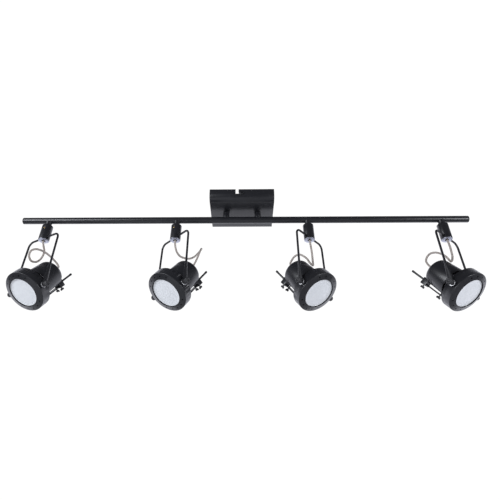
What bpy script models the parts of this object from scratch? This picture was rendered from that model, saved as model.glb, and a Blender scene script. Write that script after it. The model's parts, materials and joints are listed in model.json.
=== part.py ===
"""Ceiling spotlight bar with four adjustable heads, built as an assembly.

Units are metres and +Z is up. The origin is the centre of the face that lies
against the ceiling, +X runs along the bar and the lamps shine towards -Y.
"""

import math

import bmesh
import bpy
from mathutils import Matrix, Vector

# ---------------------------------------------------------------- clearances
GAP = 0.0003            # between pieces that touch or rest on each other
RUNNING = 0.0004        # radial, round a shaft or screw that turns

# ------------------------------------------------------------ ceiling canopy
CANOPY_LENGTH = 0.188
CANOPY_DEPTH = 0.148
CANOPY_HEIGHT = 0.0335
CANOPY_BEND = 0.020     # outer radius of the front's long lower edge
CANOPY_FOLD = 0.003     # the back's is folded tight
SHEET = 0.0012
SLOT_ENTRY_X = -0.0138  # centre of the open, upright leg of the bayonet slot
SLOT_WIDTH = 0.0085
BRACKET_WIDTH = 0.018
BRACKET_SHEET = 0.0015
BRACKET_EAR = 0.0195
EAR_INSET = 0.0030      # from the canopy's inner wall to the bracket's ear
SCREW_DROP = 0.0138     # canopy screw's axis below the ceiling
SCREW_SHANK = 0.0020
SCREW_HEAD = 0.0050
SCREW_HEAD_HEIGHT = 0.0032
CEILING_SLOT_Y = 0.045
CEILING_SLOT = (0.0052, 0.016)
FEED_HOLE_Y = 0.022
FEED_HOLE = 0.005
BLOCK_SIZE = (0.030, 0.014, 0.010)
BLOCK_Y = -0.020

# ------------------------------------------------------------------ main bar
BAR_LENGTH = 1.330
BAR_RADIUS = 0.010
BAR_WALL = 0.0015
END_OVERHANG = 0.080    # from the bar's end to the first head
HEADS = 4
POST_SPACING = 0.095
POST_LENGTH = 0.0148    # seen between the canopy and the bar
POST_RADIUS = 0.0095
NIPPLE_RADIUS = 0.0048
WIRE_BORE = 0.0030

# ------------------------------------------------------------- swivel, yoke
NECK_RADIUS = 0.0090
NECK_LENGTH = 0.0095    # seen between the bar and the hub
SPIGOT_RADIUS = 0.0060
SPIGOT_LENGTH = 0.018
HUB_RADIUS = 0.0155
HUB_LENGTH = 0.0525
HUB_CHAMFER = 0.0015
OUTLET_RADIUS = 0.0050
OUTLET_DEPTH = 0.0040
YOKE_ROD = 0.0030
YOKE_INSET = 0.0102     # crossbar's axis above the hub's lower face
YOKE_HEIGHT = 0.1658    # from the crossbar's axis down to the tilt axis
YOKE_BEND = 0.016
YOKE_TOE = 0.0025       # each leg leans out by this much towards its foot
YOKE_FLAT = 0.0015      # half thickness of the flattened foot
FLAT_END = 0.012        # the foot is flat up to here above the pivot
ROUND_START = 0.075     # and the leg is round from here
EYE_WALL = 0.0041       # flattened foot beside the pivot screw
WASHER_ROOM = 0.0014    # between the foot and the ring's boss

# --------------------------------------------------------------- lamp head,
# places along the lamp's axis are measured from the tilt axis
LAMP_RIM = 0.0555
LAMP_NECK = 0.0145
LAMP_LENGTH = 0.0600    # end of the lamp's neck behind the tilt axis
RIM_ROOM = 0.0021       # between the lamp's rim and the ring's bore
RING_WALL = 0.0024
RING_FRONT = 0.0147     # outer rim ahead of the tilt axis
RING_DISH = 0.0052      # inner lip ahead of the outer rim
RING_REAR = 0.0120      # rear edge behind the tilt axis
APERTURE = 0.0429
BOSS_RADIUS = 0.0095
BOSS_HEIGHT = 0.0030
LUG_HEIGHT = 0.0068     # lug for the rail, inwards from the ring's bore
PIVOT_SCREW = 0.0025
KNOB_RADIUS = 0.0075
KNOB_LENGTH = 0.0128
HOLDER_RADIUS = 0.017
HOLDER_ROOM = 0.038     # from the end of the lamp's neck to the cup's back
CUP_FRONT = 0.028
CUP_BEND = 0.014        # radius of the cup's rear edge
CUP_TAPER = 0.0025
CUP_WALL = 0.0015
GLAND_RADIUS = 0.0065
GLAND_LENGTH = 0.006

# ------------------------------------------------ rail, block, rod and screw
RAIL_RISE = 0.0103      # the rail's upper face inside the lamp's rim
RAIL_ROOM = 0.0037      # between the cup's mouth and the rail
RAIL_THICK = 0.0033
RAIL_WIDTH = 0.015
BLOCK_OVERLAP = 0.011   # the clamp block reaches this far along the cup
BLOCK_LENGTH = 0.017
BLOCK_RISE = 0.0137     # its top above the rail's upper face
BLOCK_FLOOR = 0.0030    # its wall under the rail
BLOCK_WIDTH = 0.020
ROD_RISE = 0.0058       # the rod's axis above the rail's upper face
ROD_RADIUS = 0.0025
ROD_INSET = 0.006       # from the block's front to the rod's end
ROD_LENGTH = 0.060
ROD_TIP = 0.008
WING_SHANK = 0.0019
WING_SPAN = 0.0066
WING_THICK = 0.0009

# -------------------------------------------------------------------- cable
CABLE_RADIUS = 0.0030
CABLE_STEP = 0.010      # between the points of the tube's path

# Pan about the vertical and tilt below the horizontal of each head, degrees.
PAN = (-28.0, -45.5, 48.5, 41.0)
TILT = (54.5, 53.2, 53.0, 55.4)

# Each lamp cable's route in its head's swivel frame, in metres: +X along the
# tilt axis, +Y to the rear of the lamp, +Z up from the bar's axis.
CABLE_ROUTES = (
    ((0.000, 0.001, -0.078), (-0.001, 0.007, -0.088), (-0.003, 0.014, -0.098),
     (-0.004, 0.015, -0.112), (-0.004, 0.010, -0.129), (-0.002, -0.002, -0.143),
     (0.000, -0.018, -0.147), (0.002, -0.029, -0.137), (0.004, -0.029, -0.122),
     (0.005, -0.018, -0.111), (0.005, -0.001, -0.106), (0.002, 0.017, -0.104),
     (-0.005, 0.038, -0.103), (-0.011, 0.056, -0.104), (-0.011, 0.070, -0.110),
     (-0.007, 0.076, -0.120)),
    ((0.000, 0.001, -0.081), (0.000, 0.004, -0.094), (-0.001, 0.011, -0.106),
     (-0.003, 0.024, -0.113), (-0.006, 0.044, -0.111), (-0.010, 0.064, -0.103),
     (-0.013, 0.082, -0.089), (-0.014, 0.094, -0.074), (-0.009, 0.100, -0.063),
     (0.000, 0.098, -0.060), (0.009, 0.091, -0.066), (0.012, 0.084, -0.080),
     (0.011, 0.078, -0.101), (0.006, 0.074, -0.118)),
    ((0.000, -0.001, -0.082), (0.002, -0.001, -0.098), (0.007, 0.001, -0.112),
     (0.012, 0.004, -0.128), (0.012, 0.004, -0.141), (0.006, 0.001, -0.151),
     (-0.004, -0.001, -0.154), (-0.011, 0.001, -0.149), (-0.011, 0.008, -0.135),
     (-0.008, 0.020, -0.121), (-0.006, 0.031, -0.111), (-0.004, 0.044, -0.106),
     (-0.002, 0.056, -0.107), (0.000, 0.066, -0.113), (0.000, 0.072, -0.122)),
    ((0.000, -0.001, -0.081), (0.002, -0.001, -0.095), (0.006, 0.001, -0.109),
     (0.011, 0.004, -0.121), (0.010, 0.007, -0.131), (0.004, 0.009, -0.137),
     (-0.005, 0.009, -0.136), (-0.011, 0.011, -0.129), (-0.011, 0.017, -0.119),
     (-0.008, 0.027, -0.108), (-0.005, 0.040, -0.098), (-0.002, 0.055, -0.094),
     (0.000, 0.067, -0.099), (0.000, 0.073, -0.110), (0.000, 0.071, -0.121)),
)

# ----------------------------------------------------------- derived places
FULL = 2 * math.pi
BAR_DROP = CANOPY_HEIGHT + POST_LENGTH + BAR_RADIUS
HEAD_SPACING = (BAR_LENGTH - 2 * END_OVERHANG) / (HEADS - 1)
HEAD_X = [(i - (HEADS - 1) / 2) * HEAD_SPACING for i in range(HEADS)]

# below the bar's axis
NECK_END = BAR_RADIUS + NECK_LENGTH
HUB_BOTTOM = NECK_END + HUB_LENGTH
YOKE_DROP = HUB_BOTTOM - YOKE_INSET
PIVOT_DROP = YOKE_DROP + YOKE_HEIGHT

# out from the lamp's axis
RING_BORE = LAMP_RIM + RIM_ROOM
RING_RADIUS = RING_BORE + RING_WALL
BOSS_FACE = RING_RADIUS + BOSS_HEIGHT
YOKE_FOOT_HALF = BOSS_FACE + WASHER_ROOM + YOKE_FLAT
YOKE_TOP_HALF = YOKE_FOOT_HALF - YOKE_TOE
YOKE_EYE = PIVOT_SCREW + EYE_WALL
LUG_TOP = RING_BORE - LUG_HEIGHT
RAIL_TOP = LAMP_RIM - RAIL_RISE
CUP_MOUTH_RADIUS = RAIL_TOP - RAIL_ROOM
CUP_SHOULDER_RADIUS = CUP_MOUTH_RADIUS - CUP_TAPER
BLOCK_TOP = RAIL_TOP - BLOCK_RISE
BLOCK_BOTTOM = RAIL_TOP + RAIL_THICK + BLOCK_FLOOR
ROD_DROP = RAIL_TOP - ROD_RISE
RAIL_SLOT = 2 * (WING_SHANK + GAP)

# along the lamp's axis
RING_LIP = RING_FRONT + RING_DISH
CUP_REAR = LAMP_LENGTH + HOLDER_ROOM
CUP_SHOULDER = CUP_REAR - CUP_BEND
BLOCK_FRONT = CUP_REAR - BLOCK_OVERLAP
ROD_START = BLOCK_FRONT + ROD_INSET
ROD_END = ROD_START + ROD_LENGTH
WING_Y = BLOCK_FRONT + BLOCK_LENGTH / 2
WING_TOP = -RAIL_TOP + 0.0012


# ---------------------------------------------------------------- materials
def finish(name, color, roughness, metallic=0.0):
    """A named Principled BSDF finish."""
    material = bpy.data.materials.new(name)
    material.use_nodes = True
    shader = material.node_tree.nodes["Principled BSDF"]
    shader.inputs["Base Color"].default_value = (*color, 1.0)
    shader.inputs["Roughness"].default_value = roughness
    shader.inputs["Metallic"].default_value = metallic
    material.diffuse_color = (*color, 1.0)
    return material


# ------------------------------------------------------------- mesh helpers
def to_mesh(name, bm):
    """Close a bmesh into a mesh with its round faces shaded smooth."""
    bmesh.ops.recalc_face_normals(bm, faces=bm.faces)
    mesh = bpy.data.meshes.new(name)
    bm.to_mesh(mesh)
    bm.free()
    mesh.shade_smooth()
    mesh.set_sharp_from_angle(angle=math.radians(32))
    return mesh


def turned(profile, segments, axis="Z"):
    """Turn a profile of (radius, height) points about an axis.

    A profile that starts and ends on the axis makes a solid piece; any other
    is closed on itself and makes a piece with a bore.
    """
    bm = bmesh.new()
    verts = [bm.verts.new((radius, 0.0, height)) for radius, height in profile]
    edges = [bm.edges.new(pair) for pair in zip(verts, verts[1:])]
    if profile[0][0] > 0.0:
        edges.append(bm.edges.new((verts[-1], verts[0])))
    bmesh.ops.spin(bm, geom=verts + edges, cent=(0, 0, 0), axis=(0, 0, 1),
                   dvec=(0, 0, 0), angle=FULL, steps=segments, use_merge=True)
    bmesh.ops.remove_doubles(bm, verts=bm.verts, dist=1e-6)
    turns = {"Z": Matrix.Identity(3),
             "Y": Matrix.Rotation(-math.pi / 2, 3, "X"),
             "X": Matrix.Rotation(math.pi / 2, 3, "Y"),
             "-X": Matrix.Rotation(-math.pi / 2, 3, "Y")}
    bmesh.ops.rotate(bm, verts=bm.verts, cent=(0, 0, 0), matrix=turns[axis])
    return bm


def rod_between(radius, low, high, segments, axis="Z"):
    """A plain cylinder from one height to another on an axis."""
    profile = [(0.0, low), (radius, low), (radius, high), (0.0, high)]
    return turned(profile, segments, axis)


def box(low, high):
    """A box between two corners."""
    bm = bmesh.new()
    size = Vector(high) - Vector(low)
    middle = (Vector(high) + Vector(low)) / 2
    place = Matrix.Translation(middle) @ Matrix.Diagonal((*size, 1.0))
    bmesh.ops.create_cube(bm, size=1.0, matrix=place)
    return bm


def extruded(outline, low, high):
    """Extrude an outline of (y, z) points along X."""
    bm = bmesh.new()
    face = bm.faces.new([bm.verts.new((low, y, z)) for y, z in outline])
    pushed = bmesh.ops.extrude_face_region(bm, geom=[face])["geom"]
    moved = [item for item in pushed if isinstance(item, bmesh.types.BMVert)]
    bmesh.ops.translate(bm, verts=moved, vec=(high - low, 0.0, 0.0))
    return bm


def moved(bm, offset):
    """Shift a whole bmesh."""
    bmesh.ops.translate(bm, verts=bm.verts, vec=offset)
    return bm


def joined(first, *others):
    """Put the separate solids of several bmeshes into one, as a cutter."""
    for other in others:
        mesh = bpy.data.meshes.new("cutter")
        other.to_mesh(mesh)
        other.free()
        first.from_mesh(mesh)
        bpy.data.meshes.remove(mesh)
    return first


def combined(mesh, tool, operation):
    """Cut a tool's bmesh from a mesh, or join it, and return the new mesh."""
    base = bpy.data.objects.new("base", mesh)
    cutter = bpy.data.objects.new("cutter", to_mesh("cutter", tool))
    for item in (base, cutter):
        bpy.context.scene.collection.objects.link(item)
    modifier = base.modifiers.new("shape", "BOOLEAN")
    modifier.operation = operation
    modifier.solver = "EXACT"
    modifier.object = cutter
    view = bpy.context.evaluated_depsgraph_get()
    result = bpy.data.meshes.new_from_object(base.evaluated_get(view))
    for item in (base, cutter):
        data = item.data
        bpy.data.objects.remove(item)
        bpy.data.meshes.remove(data)
    result.set_sharp_from_angle(angle=math.radians(32))
    return result


def cut(mesh, *tools):
    """Cut each tool from a mesh."""
    for tool in tools:
        mesh = combined(mesh, tool, "DIFFERENCE")
    return mesh


def fused(mesh, *tools):
    """Join each tool to a mesh."""
    for tool in tools:
        mesh = combined(mesh, tool, "UNION")
    return mesh


def place(name, data, material, parent=None, at=(0.0, 0.0, 0.0)):
    """Put a finished piece in the scene; copies may share their mesh."""
    piece = bpy.data.objects.new(name, data)
    bpy.context.scene.collection.objects.link(piece)
    if not data.materials:
        data.materials.append(material)
    piece.parent = parent
    piece.location = at
    return piece


def pivot(name, at, turn, parent=None):
    """An empty on a joint's axis, which carries the pieces that move."""
    empty = bpy.data.objects.new(name, None)
    bpy.context.scene.collection.objects.link(empty)
    empty.parent = parent
    empty.location = at
    empty.rotation_euler = turn
    return empty


# ------------------------------------------------------------ canopy pieces
def canopy_outline(inset):
    """The canopy's section: a wide bend in front and a tight one behind."""
    half = CANOPY_DEPTH / 2 - inset
    floor = -CANOPY_HEIGHT + inset
    top = 0.0 if inset == 0.0 else inset
    outline = [(half, top)]
    for side, bend, steps in ((1, CANOPY_FOLD, 3), (-1, CANOPY_BEND, 6)):
        radius = bend - inset
        angles = [math.pi / 2 * step / steps for step in range(steps + 1)]
        corner = [(side * (half - radius + radius * math.cos(angle)),
                   floor + radius - radius * math.sin(angle))
                  for angle in angles]
        outline += corner if side > 0 else corner[::-1]
    return outline + [(-half, top)]


def slot_cutter(side):
    """The L-shaped bayonet slot through one long wall."""
    outer = side * (CANOPY_DEPTH / 2 + SHEET)
    inner = side * (CANOPY_DEPTH / 2 - 2 * SHEET)
    low_y, high_y = sorted((outer, inner))
    foot = SCREW_DROP + SCREW_SHANK + RUNNING
    head = SCREW_DROP - SCREW_SHANK - RUNNING
    half = SLOT_WIDTH / 2
    reach = SCREW_SHANK + RUNNING
    outline = [(SLOT_ENTRY_X - half, SHEET), (SLOT_ENTRY_X - half, -foot),
               (reach, -foot), (reach, -head),
               (SLOT_ENTRY_X + half, -head), (SLOT_ENTRY_X + half, SHEET)]
    bm = bmesh.new()
    face = bm.faces.new([bm.verts.new((x, low_y, z)) for x, z in outline])
    pushed = bmesh.ops.extrude_face_region(bm, geom=[face])["geom"]
    far = [item for item in pushed if isinstance(item, bmesh.types.BMVert)]
    bmesh.ops.translate(bm, verts=far, vec=(0.0, high_y - low_y, 0.0))
    return bm


def canopy_cover():
    half = CANOPY_LENGTH / 2
    mesh = to_mesh("canopy_cover", extruded(canopy_outline(0.0), -half, half))
    hollow = extruded(canopy_outline(SHEET), SHEET - half, half - SHEET)
    holes = [moved(rod_between(NIPPLE_RADIUS + GAP, -CANOPY_HEIGHT - SHEET,
                               -CANOPY_HEIGHT + 2 * SHEET, 12), (x, 0, 0))
             for x in (-POST_SPACING / 2, POST_SPACING / 2)]
    return cut(mesh, hollow, slot_cutter(-1), slot_cutter(1), joined(*holes))


def mounting_bracket():
    outer = CANOPY_DEPTH / 2 - SHEET - EAR_INSET
    inner = outer - BRACKET_SHEET
    outline = [(-outer, 0.0), (-outer, -BRACKET_EAR), (-inner, -BRACKET_EAR),
               (-inner, -BRACKET_SHEET), (inner, -BRACKET_SHEET),
               (inner, -BRACKET_EAR), (outer, -BRACKET_EAR), (outer, 0.0)]
    half = BRACKET_WIDTH / 2
    mesh = to_mesh("mounting_bracket", extruded(outline, -half, half))
    width, length = CEILING_SLOT
    tools = []
    for side in (-1, 1):
        middle = side * CEILING_SLOT_Y
        tools.append(box((-width / 2, middle - length / 2, -2 * BRACKET_SHEET),
                         (width / 2, middle + length / 2, BRACKET_SHEET)))
    tools.append(moved(rod_between(FEED_HOLE, -2 * BRACKET_SHEET, BRACKET_SHEET,
                                   12), (0, FEED_HOLE_Y, 0)))
    tools.append(moved(rod_between(SCREW_SHANK + RUNNING, -2 * outer, 2 * outer,
                                   8, "Y"), (0, 0, -SCREW_DROP)))
    return cut(mesh, joined(*tools))


def canopy_screw():
    """A canopy screw along +Y, its head's underside at the origin."""
    shank_end = SHEET + EAR_INSET + 2 * BRACKET_SHEET
    profile = [(0.0, -SCREW_HEAD_HEIGHT), (SCREW_HEAD * 0.72, -SCREW_HEAD_HEIGHT),
               (SCREW_HEAD, -SCREW_HEAD_HEIGHT * 0.6), (SCREW_HEAD, 0.0),
               (SCREW_SHANK, 0.0), (SCREW_SHANK, shank_end), (0.0, shank_end)]
    return to_mesh("canopy_screw", turned(profile, 12, "Y"))


def terminal_block():
    length, depth, height = BLOCK_SIZE
    top = -BRACKET_SHEET - GAP
    mesh = to_mesh("terminal_block",
                   box((-length / 2, BLOCK_Y - depth / 2, top - height),
                       (length / 2, BLOCK_Y + depth / 2, top)))
    pitch = length / 3
    tools = []
    for step in (-1, 0, 1):
        tools.append(moved(rod_between(0.0019, -depth, depth, 8, "Y"),
                           (step * pitch, BLOCK_Y, top - height * 0.45)))
    return cut(mesh, joined(*tools))


# --------------------------------------------------------------- bar pieces
def bar_tube():
    """The bar with its closed ends and the four necks welded under it."""
    half = BAR_LENGTH / 2
    chamfer = BAR_WALL / 2
    profile = [(0.0, -half), (BAR_RADIUS - chamfer, -half),
               (BAR_RADIUS, -half + chamfer), (BAR_RADIUS, half - chamfer),
               (BAR_RADIUS - chamfer, half), (0.0, half)]
    mesh = to_mesh("bar_tube", turned(profile, 20, "X"))
    spigot_end = NECK_END + SPIGOT_LENGTH
    neck = [(0.0, -spigot_end), (SPIGOT_RADIUS, -spigot_end),
            (SPIGOT_RADIUS, -NECK_END), (NECK_RADIUS, -NECK_END),
            (NECK_RADIUS, -BAR_RADIUS * 0.3), (0.0, -BAR_RADIUS * 0.3)]
    mesh = fused(mesh, joined(*[moved(turned(neck, 16), (x, 0, 0))
                                for x in HEAD_X]))
    inner = BAR_RADIUS - BAR_WALL
    hollow = rod_between(inner, -half + 2 * BAR_WALL, half - 2 * BAR_WALL, 16, "X")
    bores = [moved(rod_between(WIRE_BORE, -2 * spigot_end, 0.0, 8), (x, 0, 0))
             for x in HEAD_X]
    holes = [moved(rod_between(NIPPLE_RADIUS + GAP, 0.0, 2 * BAR_RADIUS, 12),
                   (x, 0, 0)) for x in (-POST_SPACING / 2, POST_SPACING / 2)]
    return cut(mesh, hollow, joined(*bores, *holes))


def canopy_post():
    """A spacer saddled on the bar, on a hollow nipple through both."""
    top = -CANOPY_HEIGHT - GAP
    mesh = to_mesh("canopy_post", rod_between(POST_RADIUS, -BAR_DROP, top, 16))
    saddle = rod_between(BAR_RADIUS + GAP, -CANOPY_LENGTH, CANOPY_LENGTH, 20, "X")
    mesh = cut(mesh, moved(saddle, (0, 0, -BAR_DROP)))
    low = -BAR_DROP + BAR_RADIUS - BAR_WALL - 0.003
    high = -CANOPY_HEIGHT + SHEET + 0.008
    mesh = fused(mesh, rod_between(NIPPLE_RADIUS, low, high, 12))
    return cut(mesh, rod_between(WIRE_BORE, 2 * low, 0.0, 8))


# -------------------------------------------------- swivel hub and its yoke
def swivel_hub():
    top = -NECK_END - GAP
    bottom = -HUB_BOTTOM
    socket = SPIGOT_RADIUS + RUNNING
    socket_end = -NECK_END - SPIGOT_LENGTH - 4 * RUNNING
    profile = [(socket, top), (HUB_RADIUS - HUB_CHAMFER, top),
               (HUB_RADIUS, top - HUB_CHAMFER), (HUB_RADIUS, bottom),
               (OUTLET_RADIUS, bottom),
               (OUTLET_RADIUS, bottom + OUTLET_DEPTH),
               (WIRE_BORE / 2, bottom + OUTLET_DEPTH),
               (WIRE_BORE / 2, socket_end), (socket, socket_end)]
    mesh = to_mesh("swivel_hub", turned(profile, 20))
    cross = moved(rod_between(YOKE_ROD + GAP, -2 * HUB_RADIUS, 2 * HUB_RADIUS,
                              8, "X"), (0, 0, -YOKE_DROP))
    slot = box((-WIRE_BORE / 2, -OUTLET_RADIUS, bottom + OUTLET_DEPTH / 2),
               (WIRE_BORE / 2, OUTLET_RADIUS, socket_end + OUTLET_DEPTH))
    return cut(mesh, cross, slot)


def yoke_leg(height):
    """Half width and half thickness of a leg at a height above its eye."""
    if height < 0.0:
        return math.sqrt(max(YOKE_EYE ** 2 - height ** 2, 1e-8)), YOKE_FLAT
    share = min(max((height - FLAT_END) / (ROUND_START - FLAT_END), 0.0), 1.0)
    share = share * share * (3 - 2 * share)
    width = YOKE_EYE + (YOKE_ROD - YOKE_EYE) * share
    return width, YOKE_FLAT + (YOKE_ROD - YOKE_FLAT) * share


def yoke_stations():
    """Stations down one leg: point, direction of the thickness, both halves."""
    leg = PIVOT_DROP - YOKE_DROP - YOKE_BEND
    taper = ROUND_START - FLAT_END
    heights = [-YOKE_EYE * share for share in (0.97, 0.82, 0.5)] + [0.0]
    heights += [FLAT_END + taper * step / 4 for step in range(5)] + [leg]
    stations = []
    for height in heights:
        share = max((height - FLAT_END) / (leg - FLAT_END), 0.0)
        x = YOKE_FOOT_HALF + (YOKE_TOP_HALF - YOKE_FOOT_HALF) * share
        stations.append((Vector((x, 0, height - PIVOT_DROP)),
                         Vector((1, 0, 0)), *yoke_leg(height)))
    steps = 4
    middle = Vector((YOKE_TOP_HALF - YOKE_BEND, 0, -YOKE_DROP - YOKE_BEND))
    for step in range(1, steps + 1):
        angle = math.pi / 2 * step / steps
        outward = Vector((math.cos(angle), 0, math.sin(angle)))
        stations.append((middle + outward * YOKE_BEND, outward, YOKE_ROD, YOKE_ROD))
    return stations


def yoke():
    """A bent rod whose feet are flattened into eyes for the pivot screws."""
    right = yoke_stations()
    left = [(Vector((-p.x, 0, p.z)), Vector((-n.x, 0, n.z)), w, t)
            for p, n, w, t in reversed(right)]
    sides = 8
    bm = bmesh.new()
    loops = []
    for middle, outward, width, thick in right + left:
        power = 1.0 - 0.6 * (1.0 - thick / YOKE_ROD)
        loop = []
        for side in range(sides):
            angle = FULL * (side + 0.5) / sides
            across, through = math.cos(angle), math.sin(angle)
            across = math.copysign(abs(across) ** power, across) * width
            through = math.copysign(abs(through) ** power, through) * thick
            loop.append(bm.verts.new(middle + Vector((0, across, 0))
                                     + outward * through))
        loops.append(loop)
    for first, second in zip(loops, loops[1:]):
        for side in range(sides):
            after = (side + 1) % sides
            bm.faces.new((first[side], first[after], second[after], second[side]))
    bm.faces.new(loops[0])
    bm.faces.new(loops[-1])
    mesh = to_mesh("yoke", bm)
    eyes = rod_between(PIVOT_SCREW + RUNNING, -2 * YOKE_FOOT_HALF,
                       2 * YOKE_FOOT_HALF, 12, "X")
    return cut(mesh, moved(eyes, (0, 0, -PIVOT_DROP)))


# -------------------------------------- head pieces, in the tilting frame:
# +X along the tilt axis, +Y to the rear of the lamp, +Z to the head's top
def bezel_ring():
    """The lamp ring with its pivot bosses and the lug for the rail."""
    inner_lip = RING_LIP - RING_WALL * 0.7
    profile = [(RING_RADIUS, RING_REAR), (RING_RADIUS, -RING_FRONT),
               (APERTURE, -RING_LIP), (APERTURE, -inner_lip),
               (RING_BORE, -RING_FRONT + RING_WALL), (RING_BORE, RING_REAR)]
    mesh = to_mesh("bezel_ring", turned(profile, 36, "Y"))
    boss_start = RING_RADIUS - RING_WALL * 0.7
    bosses = [rod_between(BOSS_RADIUS, boss_start, BOSS_FACE, 12, axis)
              for axis in ("X", "-X")]
    mesh = fused(mesh, joined(*bosses))
    lug = box((-RAIL_WIDTH / 2 - 0.0015, RING_REAR - 0.004, -boss_start),
              (RAIL_WIDTH / 2 + 0.0015, RING_REAR, -LUG_TOP))
    mesh = fused(mesh, lug)
    screws = rod_between(PIVOT_SCREW + RUNNING, -2 * RING_RADIUS,
                         2 * RING_RADIUS, 12, "X")
    return cut(mesh, screws)


def reflector_lamp():
    """A mains reflector lamp: front glass, metal bowl and ceramic neck."""
    glass = -RING_LIP + RING_WALL
    rim = -RING_FRONT + RING_WALL + 0.0012
    bowl_start = rim + 0.0045
    bowl_end = LAMP_LENGTH - 0.012
    profile = [(0.0, glass), (APERTURE - 0.001, glass + 0.0011),
               (LAMP_RIM, rim), (LAMP_RIM, bowl_start)]
    steps = 4
    for step in range(1, steps + 1):
        share = step / steps
        bulge = (1.0 - share) ** 0.78
        radius = LAMP_NECK + (LAMP_RIM - 0.0015 - LAMP_NECK) * bulge
        profile.append((radius, bowl_start + (bowl_end - bowl_start) * share))
    profile += [(LAMP_NECK, LAMP_LENGTH), (0.0, LAMP_LENGTH)]
    return to_mesh("reflector_lamp", turned(profile, 24, "Y"))


def lampholder():
    """The ceramic holder on a hollow stem from the cup's rear wall."""
    front = LAMP_LENGTH + GAP
    back = CUP_REAR - CUP_WALL - GAP
    stem = 0.009
    profile = [(WIRE_BORE, front), (HOLDER_RADIUS, front),
               (HOLDER_RADIUS, front + 0.015), (stem, front + 0.019),
               (stem, back), (WIRE_BORE, back)]
    return to_mesh("lampholder", turned(profile, 12, "Y"))


def cup_outline(inset):
    """The cup's side from its mouth to its rear wall, moved in by inset."""
    radius = CUP_SHOULDER_RADIUS
    depth = CUP_BEND
    outline = [(CUP_MOUTH_RADIUS - inset, CUP_FRONT)]
    steps = 3
    for step in range(steps + 1):
        angle = math.pi / 2 * step / steps
        outline.append((radius - depth + (depth - inset) * math.cos(angle),
                        CUP_SHOULDER + (depth - inset) * math.sin(angle)))
    return outline


def rear_cup():
    """The rear housing, open to the front, with a cable gland behind."""
    gland_end = CUP_REAR + GLAND_LENGTH
    outer = cup_outline(0.0)
    inner = cup_outline(CUP_WALL)
    profile = outer + [(GLAND_RADIUS, CUP_REAR), (GLAND_RADIUS, gland_end),
                       (WIRE_BORE / 2, gland_end),
                       (WIRE_BORE / 2, CUP_REAR - CUP_WALL)]
    profile += list(reversed(inner))
    return to_mesh("rear_cup", turned(profile, 24, "Y"))


def pivot_knob(axis):
    """A knob and its screw, which clamps the yoke's foot to the boss."""
    start = YOKE_FOOT_HALF + YOKE_FLAT + GAP
    end = start + KNOB_LENGTH
    tip = RING_BORE + 2 * RUNNING
    chamfer = 0.001
    profile = [(0.0, tip), (PIVOT_SCREW, tip), (PIVOT_SCREW, start),
               (KNOB_RADIUS - chamfer, start), (KNOB_RADIUS, start + chamfer),
               (KNOB_RADIUS, end - chamfer), (KNOB_RADIUS - chamfer, end),
               (0.0, end)]
    return to_mesh("pivot_knob", turned(profile, 12, axis))


def support_rail():
    """A slotted strip whose front end turns down behind the ring's lug."""
    start = RING_REAR + GAP
    end = BLOCK_FRONT + BLOCK_LENGTH + 0.002
    top = -RAIL_TOP
    bottom = top - RAIL_THICK
    tab = -RING_RADIUS + 0.0012
    outline = [(start, top), (start, tab), (start + RAIL_THICK, tab),
               (start + RAIL_THICK, bottom), (end, bottom), (end, top)]
    half = RAIL_WIDTH / 2
    mesh = to_mesh("support_rail", extruded(outline, -half, half))
    slot = box((-RAIL_SLOT / 2, start + 0.012, bottom - RAIL_THICK),
               (RAIL_SLOT / 2, end - 0.006, top + RAIL_THICK))
    return cut(mesh, slot)


def clamp_block():
    """The block saddled under the cup, round the rail, rod and screw."""
    end = BLOCK_FRONT + BLOCK_LENGTH
    half = BLOCK_WIDTH / 2
    mesh = to_mesh("clamp_block", box((-half, BLOCK_FRONT, -BLOCK_BOTTOM),
                                      (half, end, -BLOCK_TOP)))
    saddle = [(0.0, CUP_FRONT)] + cup_outline(-GAP) + [(0.0, CUP_REAR + GAP)]
    rail = box((-RAIL_WIDTH / 2 - GAP, BLOCK_FRONT - GAP,
                -RAIL_TOP - RAIL_THICK - GAP),
               (RAIL_WIDTH / 2 + GAP, end + GAP, -RAIL_TOP + GAP))
    rod = moved(rod_between(ROD_RADIUS + GAP, ROD_START - GAP, 2 * ROD_END, 10,
                            "Y"), (0, 0, -ROD_DROP))
    screw = moved(rod_between(WING_SHANK + RUNNING, -2 * BLOCK_BOTTOM,
                              WING_TOP + GAP, 8), (0, WING_Y, 0))
    return cut(mesh, turned(saddle, 24, "Y"), rail, rod, screw)


def aiming_rod():
    """The handle rod behind the head, with a slightly thicker tip."""
    profile = [(0.0, ROD_START), (ROD_RADIUS, ROD_START),
               (ROD_RADIUS, ROD_END - ROD_TIP), (ROD_RADIUS * 1.2, ROD_END - ROD_TIP),
               (ROD_RADIUS * 1.2, ROD_END), (0.0, ROD_END)]
    return to_mesh("aiming_rod", moved(turned(profile, 10, "Y"), (0, 0, -ROD_DROP)))


def wing_screw():
    """The butterfly screw, its axis on Z at the origin."""
    neck = -BLOCK_BOTTOM - GAP
    wings = neck - 0.0045
    drop = 0.0055
    profile = [(0.0, WING_TOP), (WING_SHANK, WING_TOP), (WING_SHANK, wings),
               (WING_SHANK + 0.001, wings), (WING_SHANK + 0.0004, wings - drop),
               (0.0, wings - drop)]
    mesh = to_mesh("wing_screw", turned(profile, 8))
    half = [(0.0, wings - 0.0006), (WING_SPAN, wings - drop * 0.45),
            (WING_SPAN, wings - drop), (WING_SPAN * 0.7, wings - drop),
            (0.0, wings - drop * 0.8)]
    outline = half + [(-y, z) for y, z in reversed(half[1:-1])]
    return fused(mesh, extruded(outline, -WING_THICK, WING_THICK))


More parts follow.
